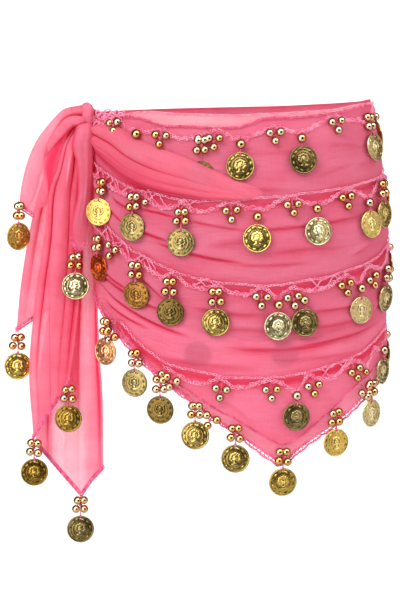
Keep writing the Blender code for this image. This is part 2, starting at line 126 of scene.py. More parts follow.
# Edges of the wound cloth, a row per station: top angle, top height, hem angle, hem height.
FRONT_EDGES = (
    (-88, -8, -93, -33), (-84, -9, -92, -90), (-80, -9, -89, -150), (-74, -9, -81, -205),
    (-66, -9, -70, -219), (-56, -8, -58, -240), (-45, -8, -45, -263), (-34, -8, -34, -286),
    (-22, -9, -22, -308), (-10, -10, -10, -331), (2, -10, 3, -355), (11, -10, 11, -370),
    (18, -9, 16, -378), (26, -8, 23, -364), (38, -5, 36, -343), (50, -1, 50, -323), (63, 2, 63, -303),
    (76, 4, 76, -280), (89.85, 4, 89.85, -258),
)
BACK_EDGES = (
    (89.87, 4, 89.87, -258), (108, 2, 107, -234), (126, 0, 126, -211), (144, -2, 144, -190),
    (162, -4, 162, -172), (180, -5, 180, -156), (198, -6, 198, -142), (216, -7, 216, -128),
    (234, -8, 234, -112), (250, -9, 249, -92), (263, -10, 262, -68), (274, -10, 274, -35),
)

# Inner turn of the scarf, seen through the outer one.
UNDER_EDGES = (
    (-74, -40, -74, -186), (-64, -34, -64, -202), (-42, -30, -42, -226), (-25, -30, -25, -234),
    (-4, -30, -4, -250), (14, -30, 14, -248), (36, -28, 36, -249), (60, -24, 60, -240),
    (75, -22, 75, -233), (88, -20, 88, -229),
)

# Loose layer over the left front, a row per station: angle, upper height, lower height.
FOLD_EDGES = (
    (-77, -24, -43), (-72, -22.5, -53), (-62, -26, -66), (-50, -36, -79), (-36, -47, -90), (-22, -58, -96),
    (-12, -69, -99), (-4, -78, -99), (3, -86, -98.5), (12, -93, -98),
)

# Drape folds of the solids: start angle and height, end angle and height, half width, ridge.
FOLDS = (
    (-84, -40, -26, -150, 20, 2.2), (-84, -52, -36, -196, 19, 2.2), (-84, -66, -50, -216, 18, 2.0),
    (-30, -120, 34, -148, 20, 1.8), (-20, -204, 52, -236, 22, 2.0), (10, -52, 84, -28, 20, 1.8),
    (24, -150, 86, -120, 20, 1.8), (-6, -330, 44, -306, 20, 1.4), (100, -60, 168, -40, 22, 1.8),
    (110, -180, 200, -120, 22, 2.0), (186, -90, 262, -52, 20, 2.2),
)

# Creases: start angle and height, end angle and height, bow of the line, half width,
# ridge, how much steeper the lower side is, and how full the crease already is at its start.
CREASES = (
    (-12, -80, 22, -86, -1, 6, 1.6, 0.6, 0), (0, -51, 24, -50, 3, 5, 0.9, 0.4, 0),
    (24, -76, 52, -57, 1, 8, 1.3, 0.5, 0), (32, -43, 58, -46, 5, 6, 1.4, 0.5, 0),
    (48, -62, 86, -42, -2, 9, 1.6, 0.4, 0), (58, -84, 88, -62, 0, 6, 1.2, 0.5, 0),
    (-72, -88, -46, -130, 1, 6, 2.6, 0.7, 1), (-60, -96, -38, -118, 1, 5, 1.8, 0.6, 0),
    (-50, -120, -22, -143, -1, 6, 2.6, 0.8, 0), (-44, -106, -22, -117, 1, 5, 2.0, 0.7, 0),
    (-36, -138, 8, -162, -4, 6, 2.8, 0.85, 0), (-24, -114, 6, -127, -2, 6, 2.0, 0.75, 0),
    (-8, -128, 64, -108, -4, 6, 2.3, 0.75, 0), (-16, -145, 12, -136, 2, 8, 1.8, 0.4, 0),
    (4, -153, 46, -146, 3, 8, 2.0, 0.5, 0), (-6, -164, 32, -160, -2, 5, 1.6, 0.7, 0),
    (44, -159, 62, -142, 0, 5, 1.6, 0.5, 0), (50, -132, 88, -112, -2, 8, 1.8, 0.5, 0),
    (62, -150, 88, -134, 0, 6, 1.4, 0.6, 0), (-78, -120, -58, -142, 0, 6, 2.2, 0.5, 1),
    (-72, -158, -40, -199, -2, 6, 2.8, 0.8, 1), (-70, -171, -24, -219, -2, 6, 2.8, 0.8, 1),
    (-69, -184, -14, -244, -4, 6, 3.0, 0.85, 1), (-42, -176, -26, -210, 0, 5, 1.4, 0.5, 0),
    (-66, -204, -34, -236, -2, 5, 1.8, 0.6, 0), (-22, -206, 14, -216, -2, 7, 1.8, 0.6, 0),
    (-14, -226, 20, -232, -2, 7, 1.6, 0.6, 0), (22, -213, 58, -206, -2, 6, 2.0, 0.7, 0),
    (12, -231, 62, -219, -3, 7, 2.0, 0.6, 0), (14, -251, 74, -225, -4, 5, 2.3, 0.8, 0),
    (-10, -249, 42, -246, -5, 6, 2.0, 0.7, 0), (56, -227, 76, -194, 0, 6, 1.8, 0.4, 0),
    (60, -190, 88, -172, 0, 7, 1.6, 0.5, 0), (-34, -262, 12, -272, -2, 7, 1.5, 0.5, 0),
    (18, -304, 27, -334, 0, 6, 0.9, 0.2, 0), (33, -296, 40, -318, 0, 5, 0.8, 0.2, 0),
    (-8, -302, 6, -334, 0, 7, 0.9, 0.2, 0), (4, -262, 60, -256, -3, 8, 1.4, 0.4, 0),
    (92, -30, 150, -44, -3, 8, 2.2, 0.6, 0), (96, -100, 150, -84, -4, 9, 2.4, 0.7, 0),
    (120, -120, 176, -108, -3, 8, 2.2, 0.7, 0), (94, -190, 140, -166, -3, 8, 2.2, 0.6, 0),
    (98, -214, 128, -198, 0, 7, 1.6, 0.5, 0), (146, -30, 206, -30, -4, 9, 2.2, 0.6, 0),
    (160, -76, 222, -76, -5, 9, 2.6, 0.7, 0), (270, -32, 214, -66, 2, 7, 2.8, -0.6, 1),
    (272, -22, 226, -30, 1, 6, 2.4, -0.5, 1), (268, -46, 212, -96, 3, 7, 2.6, -0.6, 1),
    (262, -56, 226, -110, 2, 6, 2.0, -0.5, 1), (150, -140, 206, -122, -2, 8, 1.8, 0.6, 0),
)

# Lower edges of the solids' trims, where pendants hang: angle, height. The hem has its upper height
# before its lower one.
TOP_TRIM = (
    (-80, -22), (-63, -22), (-47, -28), (-34, -27), (-16, -35), (-9, -30), (-1, -37), (13, -25), (24, -31),
    (43, -17), (56, -13), (67, -14), (80, -10), (110, -14), (140, -18), (180, -22), (220, -23), (250, -22),
    (266, -21),
)
ROW_2 = (
    (-79, -71), (-67, -84), (-55, -92), (-44, -100), (-33, -106), (-23, -111), (-9, -108), (5, -112),
    (18, -102), (29, -105), (43, -93), (57, -100), (70, -90), (84, -82), (110, -78), (180, -69),
    (230, -57), (262, -46),
)
ROW_3 = (
    (-76, -126), (-68, -138), (-60, -146), (-52, -154), (-42, -167), (-34, -177), (-27, -184), (-18, -191),
    (-9, -196), (2, -199), (13, -203), (24, -200), (37, -190), (50, -190), (61, -178), (71, -172),
    (84, -160), (110, -151), (140, -141), (170, -130), (200, -116), (225, -100), (236, -91),
)
ROW_4 = (
    (-27, -280), (-18, -290), (-8, -294), (3, -296), (12, -294), (21, -300), (32, -287), (45, -279),
    (58, -274), (71, -262), (81, -251),
)
HEM_TRIM = (
    (-77, -198, -213), (-63, -216, -232), (-54, -229, -248), (-44, -247, -268), (-32, -272, -293),
    (-18, -303, -320), (-3, -335, -348), (7, -346, -364), (17, -359, -382), (26, -344, -362),
    (39, -323, -344), (50, -305, -325), (61, -291, -306), (74, -270, -284), (90, -248, -262),
    (126, -203, -217), (162, -164, -178), (198, -134, -148), (230, -109, -122), (250, -84, -96),
)

# Lines of the crochet, angle and height: each row's upper chain, its scalloped lower chain, the
# stitched line of the casing, and the inner and outer lines of the hem.
TOP_CHAIN = (
    (-88.5, -20), (-82.5, -16), (-67.5, -13.5), (-55.5, -11.5), (-47.5, -9.5), (-39, -9.5), (-31, -11),
    (-24.5, -11.5), (-17.5, -12), (-9, -12.5), (-1, -12.5), (7.5, -11.5), (13.5, -11), (20, -10.5),
    (29.5, -9), (37, -8), (43, -7), (49, -5), (56.5, -3), (70, -1), (84, 0), (110, -3), (140, -6),
    (180, -10), (220, -12), (250, -14), (268, -16),
)
CASING = (
    (-72, -14), (-57, -14.5), (-50.5, -15), (-44, -17.5), (-38, -21.5), (-33, -23.5), (-27, -24),
    (-21.5, -24), (-16.5, -25), (-11, -25.5), (-5.5, -25), (-1, -24.5), (3, -21.5), (8, -16.5),
    (13.5, -15), (20, -15), (27, -14), (34, -12.5), (40, -11), (49, -8.5), (58, -5), (66, -3),
)
ROW_1_SCALLOPS = (
    (-88.5, -19.5), (-72.5, -20), (-63, -19), (-59.5, -20), (-56, -24), (-52, -27), (-46, -29.5),
    (-40.5, -30), (-37.5, -29), (-35, -27), (-33, -28.5), (-30, -33), (-27, -36), (-24, -37), (-21, -36),
    (-18, -34), (-16, -32.5), (-13.5, -30), (-11.5, -28), (-9.5, -28), (-7.5, -30.5), (-5.5, -33.5),
    (-3.5, -36), (-1, -37.5), (2, -35.5), (4.5, -33), (8, -29.5), (11, -26), (13.5, -24), (15.5, -25),
    (18, -27.5), (21, -29.5), (24.5, -29.5), (27, -28.5), (30, -25), (33.5, -21), (37, -16.5), (40, -12.5),
    (43.5, -13), (46.5, -16.5), (51, -18), (57, -18.5), (64.5, -20.5), (69, -17), (73, -11.5),
)
ROW_2_CHAIN = (
    (-79.5, -61.5), (-69.5, -70.5), (-61.5, -77.5), (-55, -83), (-49.5, -87.5), (-45.5, -90.5),
    (-41, -92.5), (-36.5, -93), (-32.5, -95.5), (-28.5, -98), (-25, -100), (-21, -101), (-16, -101),
    (-10.5, -100.5), (-4.5, -100), (0, -100), (5, -98), (10.5, -97), (18.5, -95.5), (24.5, -93.5),
    (31, -92), (38.5, -90), (46.5, -88), (53, -85), (60.5, -82.5), (70, -79), (84, -73), (110, -69),
    (180, -60), (230, -48), (264, -38),
)
ROW_2_SCALLOPS = (
    (-82.5, -72.5), (-71.5, -80), (-64.5, -86), (-59.5, -89), (-56, -92), (-52, -94.5), (-48, -97.5),
    (-45, -97.5), (-43, -94), (-41, -94), (-39, -99), (-36, -104), (-33.5, -107), (-30.5, -108.5),
    (-27.5, -109), (-25, -106), (-23, -102.5), (-21.5, -106.5), (-19, -111.5), (-16, -112.5),
    (-13.5, -112), (-11, -110), (-8.5, -106), (-6, -104), (-4, -103.5), (-1.5, -103.5), (0.5, -107),
    (3, -108.5), (6, -109), (8, -110), (10.5, -107), (12.5, -103), (15, -100), (18, -97), (20.5, -98.5),
    (23.5, -102.5), (26.5, -104.5), (30, -105), (33, -103), (36, -100), (39, -96), (42.5, -92),
    (46.5, -91), (50.5, -94.5), (54, -98), (56.5, -101), (60.5, -96.5), (65, -89.5), (70, -83.5),
)
ROW_3_CHAIN = (
    (-76, -112), (-68, -123), (-62, -129.5), (-58, -135.5), (-53.5, -141.5), (-50, -146.5),
    (-47.5, -150.5), (-45, -155), (-41.5, -158), (-38.5, -161), (-35.5, -165), (-33, -168),
    (-29.5, -171.5), (-26.5, -174.5), (-23.5, -177.5), (-20.5, -179.5), (-17.5, -181.5), (-14.5, -183),
    (-11, -185), (-7.5, -186.5), (-3.5, -187), (-0.5, -187.5), (3.5, -188.5), (7.5, -189.5), (11, -189),
    (15, -188.5), (18.5, -187), (22, -185.5), (26, -184), (30.5, -183), (35, -181), (39.5, -178),
    (44, -175.5), (49.5, -173), (54.5, -170.5), (59.5, -167), (65.5, -163), (71, -157.5), (84, -150),
    (110, -142), (140, -132), (170, -121), (200, -107), (225, -91), (238, -82),
)
ROW_3_SCALLOPS = (
    (-76, -123), (-64.5, -139.5), (-61, -143.5), (-57.5, -148.5), (-53.5, -152), (-50, -157),
    (-47.5, -162), (-45, -166), (-42, -164.5), (-40.5, -166.5), (-38.5, -171.5), (-35.5, -175.5),
    (-33, -179), (-30.5, -181.5), (-28.5, -179), (-27, -177), (-25, -179), (-23, -184), (-21, -188.5),
    (-17.5, -191), (-14.5, -192.5), (-12.5, -193), (-10.5, -189.5), (-9, -188.5), (-6.5, -193.5),
    (-3.5, -196.5), (-1, -198), (2, -198), (4.5, -195.5), (6, -191.5), (7.5, -191), (9.5, -194.5),
    (11.5, -199), (13.5, -203.5), (15, -199), (17.5, -194), (19.5, -191.5), (21.5, -194), (24, -195),
    (27.5, -195.5), (31, -194), (35, -191), (38, -186.5), (41.5, -182.5), (43.5, -181), (46.5, -185.5),
    (49.5, -190.5), (52, -184), (54.5, -176), (57.5, -173.5), (62.5, -175.5), (67.5, -176.5),
    (71.5, -170.5),
)
ROW_4_CHAIN = (
    (-52.5, -232.5), (-49, -239), (-45.5, -247.5), (-42, -254), (-38.5, -260), (-35, -265), (-31.5, -271),
    (-27.5, -274.5), (-23, -277.5), (-19, -279), (-15.5, -281), (-11.5, -282.5), (-7.5, -285.5),
    (-3.5, -286.5), (0, -286.5), (5, -286.5), (8.5, -287), (12.5, -286), (16.5, -286), (20.5, -284),
    (25, -282.5), (29, -280), (33.5, -277.5), (38.5, -275), (43.5, -271.5), (48, -268.5), (54, -265),
    (59.5, -259), (64.5, -254), (69, -249.5), (80, -242),
)
ROW_4_SCALLOPS = (
    (-31, -277), (-27.5, -281), (-25, -285), (-22, -289), (-19.5, -292), (-16, -293), (-13.5, -292.5),
    (-11, -289.5), (-8.5, -287.5), (-6, -291), (-3.5, -296), (-0.5, -296.5), (2.5, -295.5), (5, -293),
    (7.5, -291), (10.5, -289.5), (14, -291.5), (16, -294.5), (18, -297.5), (21, -301.5), (23, -297.5),
    (24.5, -290.5), (26.5, -285), (29, -288), (31.5, -291), (35, -290), (39, -287), (42.5, -281),
    (46, -275.5), (48.5, -273), (52.5, -275.5), (57, -281.5), (59.5, -275), (61.5, -266.5), (64, -262.5),
    (68.5, -265), (72.5, -261.5), (80, -252),
)
HEM_INNER = (
    (-76, -205), (-73, -210), (-68, -216.5), (-61.5, -225.5), (-55, -236), (-49, -248), (-44.5, -259),
    (-41, -268), (-36.5, -278), (-32, -286), (-27.5, -291.5), (-23, -297.5), (-19.5, -303.5), (-14, -313),
    (-8.5, -322), (-2.5, -330), (1, -336), (6.5, -345.5), (11, -352.5), (16.5, -358.5), (19, -356.5),
    (23.5, -351), (28.5, -341.5), (33, -332), (38, -322.5), (44.5, -310), (50, -301), (56.5, -293.5),
    (63, -286.5), (70.5, -277.5), (80, -262), (90, -248), (126, -203), (162, -164), (198, -134),
    (230, -109), (252, -83),
)
HEM_OUTER = (
    (-79, -206), (-74, -216), (-68, -226.5), (-62, -236), (-54, -250), (-47, -264), (-40, -277.5),
    (-34, -289), (-29.5, -297.5), (-25, -305.5), (-20, -314), (-14, -324.5), (-8.5, -336), (-4.5, -344),
    (0.5, -353.5), (6, -365), (11, -374), (15.5, -380), (18.5, -375.5), (21.5, -370), (25, -363),
    (30, -354.5), (37, -344.5), (44.5, -334), (52, -323), (58, -314.5), (65, -303.5), (72, -292),
    (80, -275), (90, -262), (126, -217), (162, -178), (198, -148), (230, -122), (252, -95),
)

# How each row of crochet gathers the cloth under its chain: chain, reach below it, depth drawn in.
GATHERS = ((ROW_2_CHAIN, 9, 1.8), (ROW_3_CHAIN, 9, 1.8), (ROW_4_CHAIN, 8, 1.0))

# Stitches: distance between two, length, width and thickness of the yarn loop, lean in degrees.
STITCHES = {
    "chain": (3.4, 4.7, 2.1, 0.33, 28), "web": (2.6, 3.3, 1.1, 0.27, 24),
    "stitch": (4.2, 3.7, 1.5, 0.55, 14), "loop": (5.0, 5.4, 2.6, 0.42, 3),
    "edge": (2.6, 3.4, 1.3, 0.50, 20),
}

# Stretches of each row where loose yarn crosses between its chains: first and last angle.
WEBS = {
    "row_2_crochet_front": ((-74, -46), (-38, -28), (-22, -15)),
    "row_3_crochet_front": ((-64, -34), (-18, -8), (26, 40)),
    "row_4_crochet_front": ((31, 47),),
    "top_crochet_front": ((-68, -60),),
}

# Coils of crochet at the knot: start and end (angle, height), how far they spread, turns.
KNOT_COILS = (
    ((-72, -14), (-60, -19), 4.0, 15), ((-70, -9), (-58, -12), 2.8, 12),
    ((-77, -22), (-69, -24), 2.6, 9), ((-74, -10), (-66, -20), 3.4, 11),
)

# Plating tones of the coins, as the metal's colour.
TONES = {
    "umber": (0.13, 0.09, 0.03), "rust": (0.22, 0.11, 0.03), "dark": (0.25, 0.2, 0.09),
    "dull": (0.4, 0.33, 0.16), "brown": (0.36, 0.23, 0.05), "olive": (0.48, 0.37, 0.13),
    "amber": (0.64, 0.4, 0.13), "gold": (0.74, 0.56, 0.16), "bright": (0.9, 0.72, 0.25),
    "yellow": (1.0, 0.92, 0.45), "pale": (0.86, 0.78, 0.52), "light": (1.0, 0.98, 0.68),
    "red": (0.72, 0.13, 0.04), "salmon": (0.85, 0.46, 0.28),
}

# Pendants of each trim on the front: angle, kind, tone, turn about the drop, tilt, and how far the
# pendant hangs to the side of and over its place on the solids.
FRONT_COINS = {
    "row_1": (TOP_TRIM, (
        (-47, "one bead", "dark", 0, 0, 0, 0), (-16, "close pairs", "umber", 0, 0, 0, 0),
        (-1, "one bead", "olive", 2, 1, 0.7, 0), (24, "one bead", "dark", -3, 0, 0, 0),
        (67, "close pairs", "light", -4, 2, -1.8, 1.3),
    )),
    "row_2": (ROW_2, (
        (-67, "pairs", "amber", 29, 0, 5.8, 3.9), (-44, "pairs", "dark", 6, 1, 0, 5.5),
        (-23, "pairs", "dark", 2, -1, 1.2, 2.3), (5, "one bead", "bright", 0, 2, 1.2, 0.4),
        (29, "one bead", "light", -2, 2, 0, 0), (57, "one bead", "yellow", -4, 0, -2.6, 0),
        (71, "pairs", "yellow", -6, 0, -6.8, 6.6),
    )),
    "row_3": (ROW_3, (
        (-68, "pairs", "red", 8, 0, 5.2, -1.8), (-42, "pairs", "rust", 6, 0, 0, 1.7),
        (-27, "pairs", "umber", 4, 0, -0.4, 2.2), (-9, "pairs", "olive", 0, 1, -1.7, 4.7),
        (13, "one bead", "light", 2, 2, 0, 0), (24, "one bead", "dull", -2, 0, -0.9, 0),
        (50, "one bead", "pale", -4, 0, 1.1, 0), (71, "pairs", "light", -6, 0, 0, -1.5),
    )),
    "row_4": (ROW_4, (
        (21, "one bead", "dull", -1, 0, 0, 0), (71, "one bead", "light", -4, 0, 0.7, 1.8),
    )),
    "hem": (HEM_TRIM, (
        (-63, "pairs", "salmon", 14, 0, 6.1, -7.8), (-44, "pairs", "dark", 8, 0, 2.1, -7.3),
        (-32, "pairs", "umber", 4, 0, 1.0, -9.0), (-18, "pairs", "olive", 6, 0, 1.1, -3.7),
        (-3, "pairs", "olive", 0, 0, 1.8, 4.1), (16, "pairs", "gold", 0, 2, -0.5, 2.1),
        (39, "pairs", "bright", -2, 0, -1.6, 5.3), (61, "pairs", "light", -4, 0, -5.2, 0.4),
    )),
}

# Pendants of the ends: place (x, y, height), tone, turn about the drop, and the same two shifts.
TAIL_COINS = (
    ((-238.5, -16, -110.4), "gold", 38, -2.3, 8.1),
    ((-176.2, -27, -159.9), "pale", 4, -2.2, 4.1),
    ((-245.1, 1, -246.4), "gold", 6, 0.9, -0.6),
    ((-187.8, -19, -302.2), "brown", -3, 0, 0),
    ((-226.2, -19, -361.8), "brown", 6, 0, 0),
    ((-175.3, -9, -429.9), "dark", 0, -0.5, 2.3),
)

# Kinds of pendant: lift of the beads, their places aside, drops to them, radius, drop to the coin.
PENDANTS = {
    "one bead": (CLOSE_LIFT, (0.0,), (7.0,), 5.1, 30.0),
    "close pairs": (CLOSE_LIFT, (-4.7, 4.7), (5.0, 15.0), 4.5, 37.0),
    "pairs": (PROUD_LIFT, (-4.7, 4.7), (5.0, 15.0), 4.5, 37.0),
}

# How a thread runs through a coin's hole, on the front and on the back: out, up.
THREAD_LOOP = ((1.3, 2.6), (1.2, 0.6), (-0.2, 0.0), (-1.2, 1.2), (-0.3, 3.0))
BACK_LOOP = ((1.2, 2.0), (1.0, 0.0), (-0.9, 0.0), (-0.4, 2.4))

# Coins that lie flat under the loose layer.
TUCKED_COINS = ("row_1_coin_1", "row_1_coin_2")

# Coins of the inner turn, seen through the cloth: angle, height.
INNER_COINS = ((-17, -263), (16.5, -262))

# Coins of the back: trim and angles of its coins.
BACK_COINS = {
    "top_trim_back": (TOP_TRIM, (98, 124, 150, 176, 202, 228)),
    "row_2_back": (ROW_2, (102, 126, 150, 174, 198, 222, 246)),
    "row_3_back": (ROW_3, (98, 120, 144, 168)),
    "hem_trim_back": (HEM_TRIM, (98, 122, 146, 170, 194, 218, 240)),
}
BACK_TONES = ("yellow", "light", "bright", "pale", "gold", "yellow", "bright")

# Clusters of three beads on each trim's front: angle and height of their middle, turn (degrees).
CLUSTERS = {
    "row_1": ((-63, -24, 4), (-34, -37, -6), (-11, -40, 0), (13, -34, 3), (42, -23, 8)),
    "row_2": ((-4, -114, 2), (19, -108, 4), (43, -102, 7)),
    "row_3": ((-56, -156, -24), (7, -204, -3), (19, -204, 8), (42, -193, 8), (58, -188, 22)),
    "row_4": ((-8, -301, -8), (11, -302, 3), (28, -299, 9), (49, -286, 20)),
    "hem": ((-57, -247, -34), (-27, -291, -20), (-12, -331, -28), (55, -308, 26)),
}

# Beads of a cluster: aside, up.
CLUSTER_BEADS = ((-5.9, 3.2), (5.9, 3.4), (0.2, -6.0))

# Single beads beside the coins' own: angle, height.
EXTRA_BEADS = {
    "row_1": ((-17.5, -36.5),), "row_2": ((-38.5, -103.5),), "row_3": (),
    "row_4": ((55, -286),), "hem": ((-31, -283), (-18, -315.5), (61.5, -299)),
}

# Hanging ends, a row per section from the knot down: left x, left height, right x, right height,
# how deep the pleats are, drop of the point, distance back.
TAIL_SIDE = (
    (-169.5, -5.5, -169, -20, 1.0, 0, 0), (-176, -3.6, -175, -23.5, 1.0, 0, 0),
    (-184, -4.2, -181.5, -26, 1.0, 0, 0), (-192.5, -7.5, -185.5, -30, 0.95, 0, 0),
    (-201.5, -16, -188.5, -38, 0.85, 0, 0), (-212, -28, -192, -50, 0.75, 0, 0),
    (-220, -39, -195, -63, 0.7, 0, 0), (-227.5, -54, -199, -76, 0.65, 0, 0),
    (-232.5, -68, -204, -90, 0.6, 0, 0), (-236.5, -84, -208, -104, 0.5, 0, 0),
    (-239, -98, -213, -110.5, 0.4, 0, 0), (-240, -110, -226, -119.5, 0.3, 0, 0),
)
TAIL_BACK = (
    (-194, -30, -184, -30, 0.6, 0, 0), (-216, -84, -190, -84, 0.9, 0, 0),
    (-230, -136, -194, -136, 1.0, 0, 0), (-241, -200, -196, -188, 0.8, 0, 0),
    (-246, -247, -200, -216, 0.35, 0, 0),
)
TAIL_FRONT = (
    (-180, -27, -170, -25, 0.5, 0, 4), (-184, -33, -169, -33, 0.7, 0, 1),
    (-190.5, -43, -169.5, -43, 0.8, 0, 0), (-194.5, -56, -170, -56, 0.9, 0, 0),
    (-199.5, -74, -171, -74, 1.0, 0, 0), (-206.5, -91, -172, -91, 1.0, 0, 0),
    (-210, -110, -173, -110, 1.0, 0, 0), (-213, -148, -174.5, -148, 1.0, 0, 0),
    (-223, -210, -175, -204, 1.0, 0, 0), (-231, -290, -181, -260, 0.75, 0, 0),
    (-227, -363, -187, -301, 0.3, 0, 0),
)
TAIL_LONG = (
    (-178, -28, -164, -26, 0.4, 0, 0), (-188, -83, -162, -83, 0.8, 0, 0),
    (-197, -149, -161, -149, 1.0, 0, 0), (-208, -215, -159, -213, 1.0, 0, 0),
    (-217, -270, -157, -270, 1.0, 0, 0), (-223, -325, -154, -325, 0.8, 4, 0),
    (-225, -371, -154, -398, 0.35, 40, 0),
)
TAIL_STRIP = (
    (-173, -20.5, -162.5, -20, 0.5, 0, 9), (-176.5, -23.5, -160, -23, 0.9, 0, 3),
    (-178.5, -31, -158.8, -31, 1.1, 0, 0), (-181.5, -43, -158.6, -43, 1.1, 0, 0),
    (-180.5, -52, -159, -52, 1.0, 0, 0), (-177, -63, -159.5, -63, 1.0, 0, 0),
    (-175.5, -83, -160.3, -83, 0.9, 0, 0), (-176, -101, -161.8, -101, 0.8, 0, 0),
    (-180, -118, -163.5, -118, 0.7, 0, 0), (-183, -132, -165, -134, 0.5, 2, 0),
    (-183, -146, -167.5, -149, 0.3, 12, 0),
)

# Painted shadow in the deep recess between the knot's band and the front end: height, middle x, half
# width.
RECESS_SHADE = (
    (-100, -208, 0.3), (-85, -207, 3.0), (-69, -206, 7.0), (-52, -201, 7.0), (-42, -196, 5.5),
    (-26, -187, 2.5), (-16, -182, 0.3),
)

# Each end: table, depth (y), place of the point, columns, rows, columns turned in, flat size (m).
TAILS = {
    "tail_side": (TAIL_SIDE, -17, 0.5, 120, 130, 7, (0.055, 0.14)),
    "tail_back": (TAIL_BACK, 1, 0.5, 90, 120, 0, (0.045, 0.21)),
    "tail_front": (TAIL_FRONT, -19, 0.5, 120, 160, 0, (0.055, 0.32)),
    "tail_long": (TAIL_LONG, -9, 0.7, 120, 160, 0, (0.065, 0.39)),
    "tail_strip": (TAIL_STRIP, -28, 0.45, 60, 90, 5, (0.038, 0.14)),
}

# Rounded pleats of each end: middle at the knot and at the hem (share across), half width at both,
# height.
PLEATS = {
    "tail_side": ((0.25, 0.27, 0.30, 0.30, 8.0), (0.77, 0.76, 0.27, 0.28, 6.5)),
    "tail_back": (
        (0.14, 0.10, 0.16, 0.13, 3.6), (0.46, 0.38, 0.19, 0.19, 4.6), (0.84, 0.78, 0.20, 0.23, 4.4),
    ),
    "tail_front": (
        (0.09, 0.08, 0.10, 0.09, 3.8), (0.37, 0.44, 0.20, 0.27, 6.4), (0.79, 0.80, 0.17, 0.10, 2.6),
        (0.97, 0.96, 0.04, 0.05, 2.2),
    ),
    "tail_long": (
        (0.09, 0.09, 0.10, 0.10, 3.6), (0.32, 0.30, 0.15, 0.13, 4.6), (0.58, 0.56, 0.12, 0.10, 1.8),
        (0.84, 0.82, 0.14, 0.15, 5.0),
    ),
    "tail_strip": ((0.46, 0.46, 0.52, 0.48, 6.5),),
}

# Bands of the knot: x, y, z, half width and half thickness along each.
KNOT_LOBES = {
    "ball": (
        (-163, -15, -24, 4, 4), (-164, -21, -19, 5.5, 5.5), (-165.2, -23, -12, 6.2, 6.5),
        (-165.5, -20, -6.0, 6.4, 6.4), (-168.5, -15, -5.5, 5.2, 4.8), (-175, -10, -9, 3.2, 3),
    ),
    "nose": (
        (-168, -19, -19, 2.5, 3), (-171.5, -26, -18, 3.8, 4), (-177.3, -28, -18.5, 5.0, 4.4),
        (-182.8, -27.5, -19.5, 5.2, 4.2), (-188.2, -26.5, -23, 5.3, 3.8), (-193.6, -25.5, -29.3, 5.2, 3.2),
        (-200.1, -24, -36.9, 4.8, 2.4), (-205.0, -22.0, -44, 3.8, 1.7), (-209.5, -19.5, -52, 2.5, 1.0),
        (-214.5, -16.0, -62, 1.2, 0.4),
    ),
    "right lobe": (
        (-159, -10, -27, 2.5, 3), (-157, -15, -22, 3.6, 4), (-155.4, -16, -16, 4.2, 4),
        (-156, -13, -11.5, 3.8, 3.4), (-160, -8, -10.5, 3, 2.5),
    ),
    "core": (
        (-158, -3, -20, 4, 8), (-166, -4, -20, 11, 14), (-176, -4, -20, 13, 16), (-187, -4, -24, 11, 13),
        (-196, -4, -30, 5, 7),
    ),
    "back over": (
        (-154, 4, -19, 4, 4), (-160, 11, -15, 7, 6), (-169, 15, -12, 9, 7), (-180, 13, -13, 9, 6.5),
        (-190, 9, -23, 8, 5), (-197, 5, -36, 5, 3),
    ),
    "back under": (
        (-160, 8, -24, 4, 4), (-168, 13, -25, 7, 6), (-178, 12, -30, 7, 6), (-186, 8, -42, 6, 4),
        (-191, 5, -56, 3, 2),
    ),
}

# ---------------------------------------------------------------- measuring on the hip form

def along(table, keys):
    """Read a table's other columns at each key, on smooth curves through its rows."""
    rows = np.array(table, float)
    stations = rows[:, 0]
    slopes = np.gradient(rows[:, 1:], stations, axis=0)
    keys = np.asarray(keys, float)
    i = np.clip(np.searchsorted(stations, keys) - 1, 0, len(stations) - 2)
    step = (stations[i + 1] - stations[i])[..., None]
    t = np.clip((keys - stations[i])[..., None] / step, 0.0, 1.0)
    start = (1 + 2 * t) * (1 - t) ** 2 * rows[i, 1:] + t * (1 - t) ** 2 * step * slopes[i]
    end = t * t * (3 - 2 * t) * rows[i + 1, 1:] + t * t * (t - 1) * step * slopes[i + 1]
    return np.moveaxis(start + end, -1, 0)


def numbered(table):
    """Give each row of a table its own number as the key."""
    return [(i, *row) for i, row in enumerate(table)]


def ease(t):
    """Go smoothly from 0 to 1."""
    t = np.clip(t, 0.0, 1.0)
    return t * t * (3 - 2 * t)


def bell(t):
    """Swell that is 1 at 0 and fades both ways."""
    return np.exp(-t ** 2)


def unit(vectors):
    """Vectors of length 1."""
    return vectors / np.linalg.norm(vectors, axis=-1, keepdims=True)


def hip_points(angle, height):
    """Points of the smooth hip form that the cloth is wound on."""
    half_width, front, back = along(HIP_LEVELS, height)
    from_knot = np.abs((angle + 270) % 360 - 180)
    drawn = ease((KNOT_REACH - from_knot) / (KNOT_REACH - KNOT_HOLD))
    half_width = half_width + np.where(height > HIP_LINE, (KNOT_SIDE - half_width) * drawn, 0.0)
    turn = np.radians(angle)
    depth = np.where(np.cos(turn) > 0, front, back)
    return np.stack([half_width * np.sin(turn), -depth * np.cos(turn), height + 0 * turn], -1)


def hip_normals(angle, height):
    """Outward directions of the hip form."""
    step = 0.5
    round_hips = hip_points(angle + step, height) - hip_points(angle - step, height)
    upward = hip_points(angle, height + step) - hip_points(angle, height - step)
    return unit(np.cross(round_hips, upward))


def up_the_cloth(outward):
    """Upward direction in the plane of the cloth."""
    return unit(np.array((0, 0, 1.0)) - outward * outward[2])


def from_line(angle, height, line):
    """Share along a line on the cloth, and distance over it."""
    start_angle, start_height, end_angle, end_height = line
    run_x = (end_angle - start_angle) * GIRTH_PER_DEGREE
    run_y = end_height - start_height
    x = (angle - start_angle) * GIRTH_PER_DEGREE
    y = height - start_height
    length = math.hypot(run_x, run_y)
    return (x * run_x + y * run_y) / length ** 2, (y * run_x - x * run_y) / length


